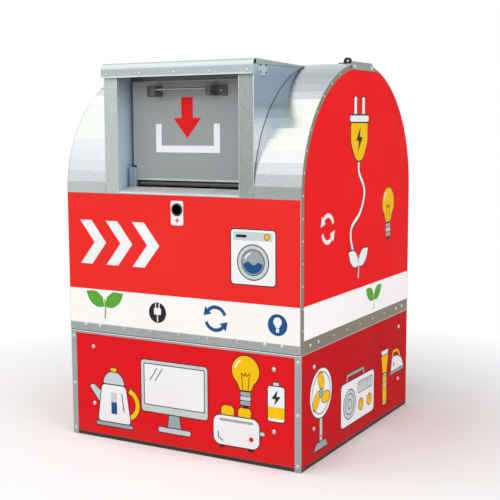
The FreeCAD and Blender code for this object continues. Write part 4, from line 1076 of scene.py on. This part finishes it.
def borderSpots():
    # evenly along the bare border of an end wall, from its front foot up to the crown
    inset = rivets["borderInset"]
    path = archOutline(inset, inset, rivets["borderLow"], crown, rivets["borderSteps"])
    spots = []
    left = 0
    for (x0, z0), (x1, z1) in zip(path, path[1:]):
        run = math.hypot(x1 - x0, z1 - z0)
        while left < run:
            share = left / run
            spots.append((x0 + (x1 - x0) * share, z0 + (z1 - z0) * share))
            left += rivets["borderPitch"]
        left -= run
    return [(x, z) for x, z in spots if x < 0 and z < plateLow.z - rivets["radius"]]


seamRow = []
borderRow = []
for reach in rivets["seamReach"]:
    seamRow += frontPair(reach, frontFace, rivets["seamHeight"])
    seamRow += endPair(reach, endFace, rivets["seamHeight"])
for depth, height in borderSpots():
    borderRow += endPair(depth, endFace, height)
headerRow = []
for reach in rivets["headerReach"]:
    headerRow.append(((reach, -rivets["headerFace"], rivets["headerHeight"]), "front"))
for name, row in (("seam_rivets", seamRow), ("border_rivets", borderRow), ("header_rivets", headerRow)):
    setOut(rivetPattern(), row, name)
print("bolts and rivets set,", len(borderRow), "in the borders")


# hood: folded posts, joining plates, small bolts, sealant where the cheeks meet the vault

hood = {
    "foldInner": 0.004,
    "foldOuter": 0.002,
    "sheet": 0.002,
    "cheekFace": 0.379,
    "innerFace": 0.311,
    "plateAcross": -0.525,
    "plateHeight": 1.671,
    "plateWide": 0.07,
    "plateTall": 0.05,
    "plateThick": 0.0012,
    "plateCorner": 0.004,
    "rivetAcross": 0.024,         # from the plate's middle
    "rivetUp": 0.015,
    "edgeBolt": (-0.598, 1.457),
    "innerBolt": (-0.577, 1.636),
    "boltRadius": 0.0055,
    "boltRise": 0.0034,
    "boltSteps": 20,
}


def foldedPost(side, sign):
    sheet = hood["sheet"]
    inner = hood["foldInner"]
    outer = hood["foldOuter"]
    front = postLow.y
    back = postHigh.y
    left = postLow.x
    right = postHigh.x
    plan = [(left, back)] + arcPoints((left + inner, front + inner), inner, 180, 270, 6)
    plan += arcPoints((right - outer, front + outer), outer, 270, 360, 5)
    plan += [(right - sheet, front + sheet), (right - sheet, back)]
    plan += [(right - 2 * sheet, back), (right - 2 * sheet, front + sheet)]
    plan += arcPoints((left + inner, front + inner), inner - sheet, 270, 180, 6)
    plan += [(left + sheet, back)]
    post = cutVinyl("folded_post_" + side, [[(sign * x, y) for x, y in plan]], postHigh.z - postLow.z)
    post.location = (0, 0, (postLow.z + postHigh.z) / 2)
    smoothed(fixPlace(post), 35)
    # the right post takes the darker copy as painted shade
    finish = "sheet" if side == "left" else "sheetShaded"
    dress(post, finishes[finish], "body", ("hood_post_" + side,))
    post.data.materials.append(finishes["innerCheek"])
    for face in post.data.polygons:
        if face.normal.x * sign < -0.9:
            face.material_index = 1


def joiningPlate(side, sign):
    outline = roundBox(sign * hood["plateAcross"], hood["plateHeight"], hood["plateWide"],
                       hood["plateTall"], hood["plateCorner"])
    plate = cutVinyl("joining_plate_" + side, [outline], hood["plateThick"])
    layOn(plate, side, hood["cheekFace"], 0)
    dress(plate, finishes["joining"], "body")


plateRow = []
smallRow = []
for side, sign in bothSides:
    foldedPost(side, sign)
    joiningPlate(side, sign)
    for way in (-1, 1):
        for high in (-1, 1):
            plateRow.append(((sign * (hood["cheekFace"] + hood["plateThick"]),
                              hood["plateAcross"] + way * hood["rivetAcross"],
                              hood["plateHeight"] + high * hood["rivetUp"]), side))
    smallRow.append(((sign * hood["cheekFace"], *hood["edgeBolt"]), side))
    inward = "left" if side == "right" else "right"
    smallRow.append(((sign * hood["innerFace"], *hood["innerBolt"]), inward))
setOut(rivetPattern(), plateRow, "plate_rivets", "darkSteel")
setOut(domePattern(hood["boltRadius"], hood["boltRise"], hood["boltSteps"]), smallRow, "cheek_bolts")

bead = {
    "radius": 0.0014,
    "step": 0.008,
    "sink": 0.0003,
    "across": 0.3801,
    "low": 1.1425,
    "high": 1.692,
}


def vaultDepth(height):
    # how far out the faceted vault is at a height
    edges = [facetEdge(number) for number in range(facetCount // 2 + 1)]
    for (y0, z0), (y1, z1) in zip(edges, edges[1:]):
        if z0 <= height <= z1:
            return y0 + (y1 - y0) * (height - z0) / (z1 - z0)
    return halfDepth


def sealantBead(side, sign):
    count = round((bead["high"] - bead["low"]) / bead["step"])
    heights = [bead["low"] + (bead["high"] - bead["low"]) * i / count for i in range(count + 1)]
    points = [(sign * bead["across"], bead["sink"] - vaultDepth(height), height) for height in heights]
    name = "sealant_" + side
    curve = bpy.data.curves.new(name, "CURVE")
    curve.dimensions = "3D"
    curve.bevel_depth = bead["radius"]
    curve.bevel_resolution = 1
    curve.use_fill_caps = True
    spline = curve.splines.new("POLY")
    spline.points.add(len(points) - 1)
    for dot, point in zip(spline.points, points):
        dot.co = (*point, 1)
    piece = curveMesh(name, curve)
    bpy.ops.object.shade_smooth()
    dress(piece, finishes["sealant"], "body")


for side, sign in bothSides:
    sealantBead(side, sign)
print("hood dressed")


# rolled fold along the top of the base with a dark joint over it, rolled lips on the sill and the posts

bevel = {
    "segments": 5,
    "blockSegments": 3,
    "angle": 0.6,
}
fold = {
    "low": 0.4922,
    "high": 0.4984,
    "stand": 0.003,
    "round": 0.0029,
    "jointHigh": 0.5008,
    "jointStand": 0.0005,
    "reach": 0.5995,
    "lipLow": 1.1402,
    "lipHigh": 1.1462,
    "lipReach": 0.3085,
    "postEdges": (-0.3783, -0.3097, 0.3097, 0.3783),
    "postLow": 1.1405,
    "postHigh": 1.6475,
    "postThick": 0.0042,
    "postSink": 0.4,          # shares of the thickness
    "postRound": 0.48,
}


def bevelled(piece, width, segments):
    takeUp(piece)
    modifier = piece.modifiers.new("Bevel", "BEVEL")
    modifier.width = width
    modifier.segments = segments
    modifier.limit_method = "ANGLE"
    modifier.angle_limit = bevel["angle"]
    bpy.ops.object.modifier_apply(modifier=modifier.name)
    return piece


def edgeBar(place, size, ease):
    clearSelection()
    bpy.ops.mesh.primitive_cube_add(size=1, location=place)
    bar = bpy.context.object
    bar.scale = size
    return smoothed(bevelled(fixPlace(bar), ease, bevel["segments"]), 50)


def seamBar(side, reach, low, high, stand, ease):
    place = outward[side] * frontFace + Vector((0, 0, (low + high) / 2))
    return edgeBar(place, (2 * reach, 2 * stand, high - low), ease)


def postBar(across):
    thick = fold["postThick"]
    place = (across, thick * fold["postSink"] - frontFace, (fold["postLow"] + fold["postHigh"]) / 2)
    return edgeBar(place, (thick, thick, fold["postHigh"] - fold["postLow"]), thick * fold["postRound"])


folds = []
joints = []
stand = fold["jointStand"]
for side in ("front", "rear"):
    folds.append(seamBar(side, fold["reach"], fold["low"], fold["high"], fold["stand"], fold["round"]))
    joints.append(seamBar(side, fold["reach"], fold["high"], fold["jointHigh"], stand, stand / 2))
lip = seamBar("front", fold["lipReach"], fold["lipLow"], fold["lipHigh"], fold["stand"], fold["round"])
edges = [postBar(across) for across in fold["postEdges"]]
for name, bars in (("seam_fold", folds), ("sill_lip", [lip]), ("post_edges", edges)):
    dress(joinPieces(bars, name), finishes["fixing"], "body")
dress(joinPieces(joints, "seam_joint"), finishes["rubber"], "body")
print("edges rolled")


# handle blocks, moulded with a boss for the rod, hollowed towards the screw, and eased edges

handle = {
    "inner": 0.126,
    "outer": 0.205,
    "bossEnd": 0.162,
    "low": 1.5655,
    "high": 1.6105,
    "plate": 0.009,
    "depth": 0.058,
    "draft": (0.93, 1, 0.9),
    "hollow": 0.009,
    "hollowSteps": 9,
    "edge": 0.0026,
}
handleMiddle = (handle["low"] + handle["high"]) / 2


def pick(piece, kind, test):
    takeUp(piece)
    bpy.ops.object.mode_set(mode="EDIT")
    bpy.ops.mesh.select_mode(type=kind)
    bpy.ops.mesh.select_all(action="DESELECT")
    bpy.ops.object.mode_set(mode="OBJECT")
    parts = {"VERT": piece.data.vertices, "EDGE": piece.data.edges, "FACE": piece.data.polygons}
    for part in parts[kind]:
        part.select = test(part)
    bpy.ops.object.mode_set(mode="EDIT")


def hollowEnd(block, sign):
    # the upright edges of the boss's end are divided and their points drawn in along a curve
    near = 0.003
    sameShare = 0.01
    steps = handle["hollowSteps"]

    def onWall(spot):
        return abs(abs(spot.x) - handle["bossEnd"]) < near and spot.y < -flapFace - near

    def upright(edge):
        start, end = (block.data.vertices[i].co for i in edge.vertices)
        return onWall(start) and onWall(end) and abs(start.z - end.z) > near

    def shareUp(spot):
        half = handle["high"] - handleMiddle
        if spot.y < -flapFace - handle["depth"] / 2:
            half *= handle["draft"][2]
        return (spot.z - handleMiddle) / half

    pick(block, "EDGE", upright)
    bpy.ops.mesh.subdivide(number_cuts=steps)
    for step in range(1, steps + 1):
        share = 2 * step / (steps + 1) - 1
        pick(block, "VERT", lambda dot: onWall(dot.co) and abs(shareUp(dot.co) - share) < sameShare)
        bpy.ops.transform.translate(value=(-sign * handle["hollow"] * (1 - share * share), 0, 0))
    bpy.ops.object.mode_set(mode="OBJECT")


def mouldedBlock(side, sign):
    clearSelection()
    across = sign * (handle["inner"] + handle["outer"]) / 2
    plate = handle["plate"]
    bpy.ops.mesh.primitive_cube_add(size=1, location=(across, -flapFace - plate / 2, handleMiddle))
    block = bpy.context.object
    block.name = "moulded_block_" + side
    block.scale = (handle["outer"] - handle["inner"], plate, handle["high"] - handle["low"])
    fixPlace(block)
    bpy.ops.object.mode_set(mode="EDIT")
    bpy.ops.mesh.select_all(action="SELECT")
    bpy.ops.mesh.bisect(plane_co=(sign * handle["bossEnd"], 0, 0), plane_no=(1, 0, 0))
    bpy.ops.object.mode_set(mode="OBJECT")
    pick(block, "FACE", lambda face: face.normal.y < -0.9 and abs(face.center.x) < handle["bossEnd"])
    bpy.ops.mesh.extrude_region_move(TRANSFORM_OT_translate={"value": (0, plate - handle["depth"], 0)})
    bpy.ops.transform.resize(value=handle["draft"])
    bpy.ops.object.mode_set(mode="OBJECT")
    hollowEnd(block, sign)
    smoothed(bevelled(block, handle["edge"], bevel["blockSegments"]), 40)
    dress(block, finishes["moulded"], "chute", ("handle_block_" + side,))


for side, sign in bothSides:
    mouldedBlock(side, sign)
print("handle moulded")


# stage

studio = {
    "floorSize": 60,
    "floorTone": (0.92, 0.94),
    "floorScale": 1.5,
    "floorRough": 0.9,
    "floorSpecular": 0.1,
    "clearNear": 1.0,         # the floor is all white from clearFar on
    "clearFar": 2.5,
    "worldLevel": 0.49,
    # place, aim, width, height, radiance
    "softboxes": {
        "skySoftbox": ((-1.534, -3.192, 3.684), (-1.2415, -2.367, 0.816), 9.25, 6.65, 1.1),
        "sideSoftbox": ((5.2, -0.6, 2.6), (0.6, 0, 1.0), 6.0, 5.0, 1.02),
    },
}


def seenByEye(tree):
    # 1 for what the camera, a reflection or a clear surface looks at
    path = tree.nodes.new("ShaderNodeLightPath")
    seen = math2(tree, "MAXIMUM", path.outputs["Is Camera Ray"], path.outputs["Is Glossy Ray"])
    return math2(tree, "MAXIMUM", seen, path.outputs["Is Transmission Ray"])


def buildFloor():
    clearSelection()
    bpy.ops.mesh.primitive_plane_add(size=studio["floorSize"], location=(0, 0, 0))
    floor = bpy.context.object
    floor.name = "floor"
    material, tree, shader = startMaterial("studioFloor")
    shader.inputs["Roughness"].default_value = studio["floorRough"]
    shader.inputs["Specular IOR Level"].default_value = studio["floorSpecular"]
    space = objectSpace(tree)
    low, high = studio["floorTone"]
    stops = ((0.3, (low, low, low, 1)), (0.7, (high, high, high, 1)))
    tint = ramp(tree, noise(tree, space, studio["floorScale"], 2), stops)
    tree.links.new(tint, shader.inputs["Base Color"])
    floor.data.materials.append(material)
    away = tree.nodes.new("ShaderNodeVectorMath")
    away.operation = "LENGTH"
    tree.links.new(space, away.inputs[0])
    far = spread(tree, away.outputs["Value"], 0, 1, studio["clearNear"], studio["clearFar"])
    glow = tree.nodes.new("ShaderNodeEmission")
    mix = tree.nodes.new("ShaderNodeMixShader")
    tree.links.new(math2(tree, "MULTIPLY", far, seenByEye(tree)), mix.inputs["Fac"])
    tree.links.new(shader.outputs["BSDF"], mix.inputs[1])
    tree.links.new(glow.outputs["Emission"], mix.inputs[2])
    tree.links.new(mix.outputs["Shader"], tree.nodes["Material Output"].inputs["Surface"])


def buildWorld():
    world = bpy.data.worlds.new("studio")
    bpy.context.scene.world = world
    world.use_nodes = True
    tree = world.node_tree
    background = tree.nodes["Background"]
    background.inputs["Color"].default_value = plainWhite
    level = spread(tree, seenByEye(tree), studio["worldLevel"], 1, 0, 1)
    tree.links.new(level, background.inputs["Strength"])


def addSoftbox(name, place, aim, wide, tall, radiance):
    lamp = bpy.data.lights.new(name, "AREA")
    lamp.shape = "RECTANGLE"
    lamp.size = wide
    lamp.size_y = tall
    lamp.energy = radiance * math.pi * wide * tall
    holder = bpy.data.objects.new(name, lamp)
    bpy.context.scene.collection.objects.link(holder)
    holder.location = place
    holder.rotation_mode = "QUATERNION"
    holder.rotation_quaternion = (Vector(aim) - Vector(place)).to_track_quat("-Z", "Y")
    holder.visible_camera = False


buildFloor()
buildWorld()
for name, setting in studio["softboxes"].items():
    addSoftbox(name, *setting)

photoCamera = {
    "azimuth": 29.31,
    "elevation": 7.01,
    "roll": -0.24,
    "lens": 72.85,            # 1011.8 px focal length in a 500 px frame
    "sensor": 36,
    "farEnd": 100,
    "place": (2.407, -4.255, 1.438),
}


def buildCamera():
    azimuth = math.radians(photoCamera["azimuth"])
    elevation = math.radians(photoCamera["elevation"])
    roll = math.radians(photoCamera["roll"])
    back = Vector((math.sin(azimuth) * math.cos(elevation), -math.cos(azimuth) * math.cos(elevation),
                   math.sin(elevation)))
    right = Vector((math.cos(azimuth), math.sin(azimuth), 0))
    up = back.cross(right)
    tiltRight = right * math.cos(roll) + up * math.sin(roll)
    tiltUp = up * math.cos(roll) - right * math.sin(roll)
    camera = bpy.data.objects.new("photoCamera", bpy.data.cameras.new("photoCamera"))
    camera.data.lens = photoCamera["lens"]
    camera.data.sensor_width = photoCamera["sensor"]
    camera.data.clip_end = photoCamera["farEnd"]
    turn = Matrix((tiltRight, tiltUp, back)).transposed().to_4x4()
    camera.matrix_world = Matrix.Translation(photoCamera["place"]) @ turn
    bpy.context.scene.collection.objects.link(camera)
    bpy.context.scene.camera = camera


buildCamera()
bpy.context.scene.view_settings.view_transform = "Standard"
print("stage, lamps and camera set")

clearSelection()
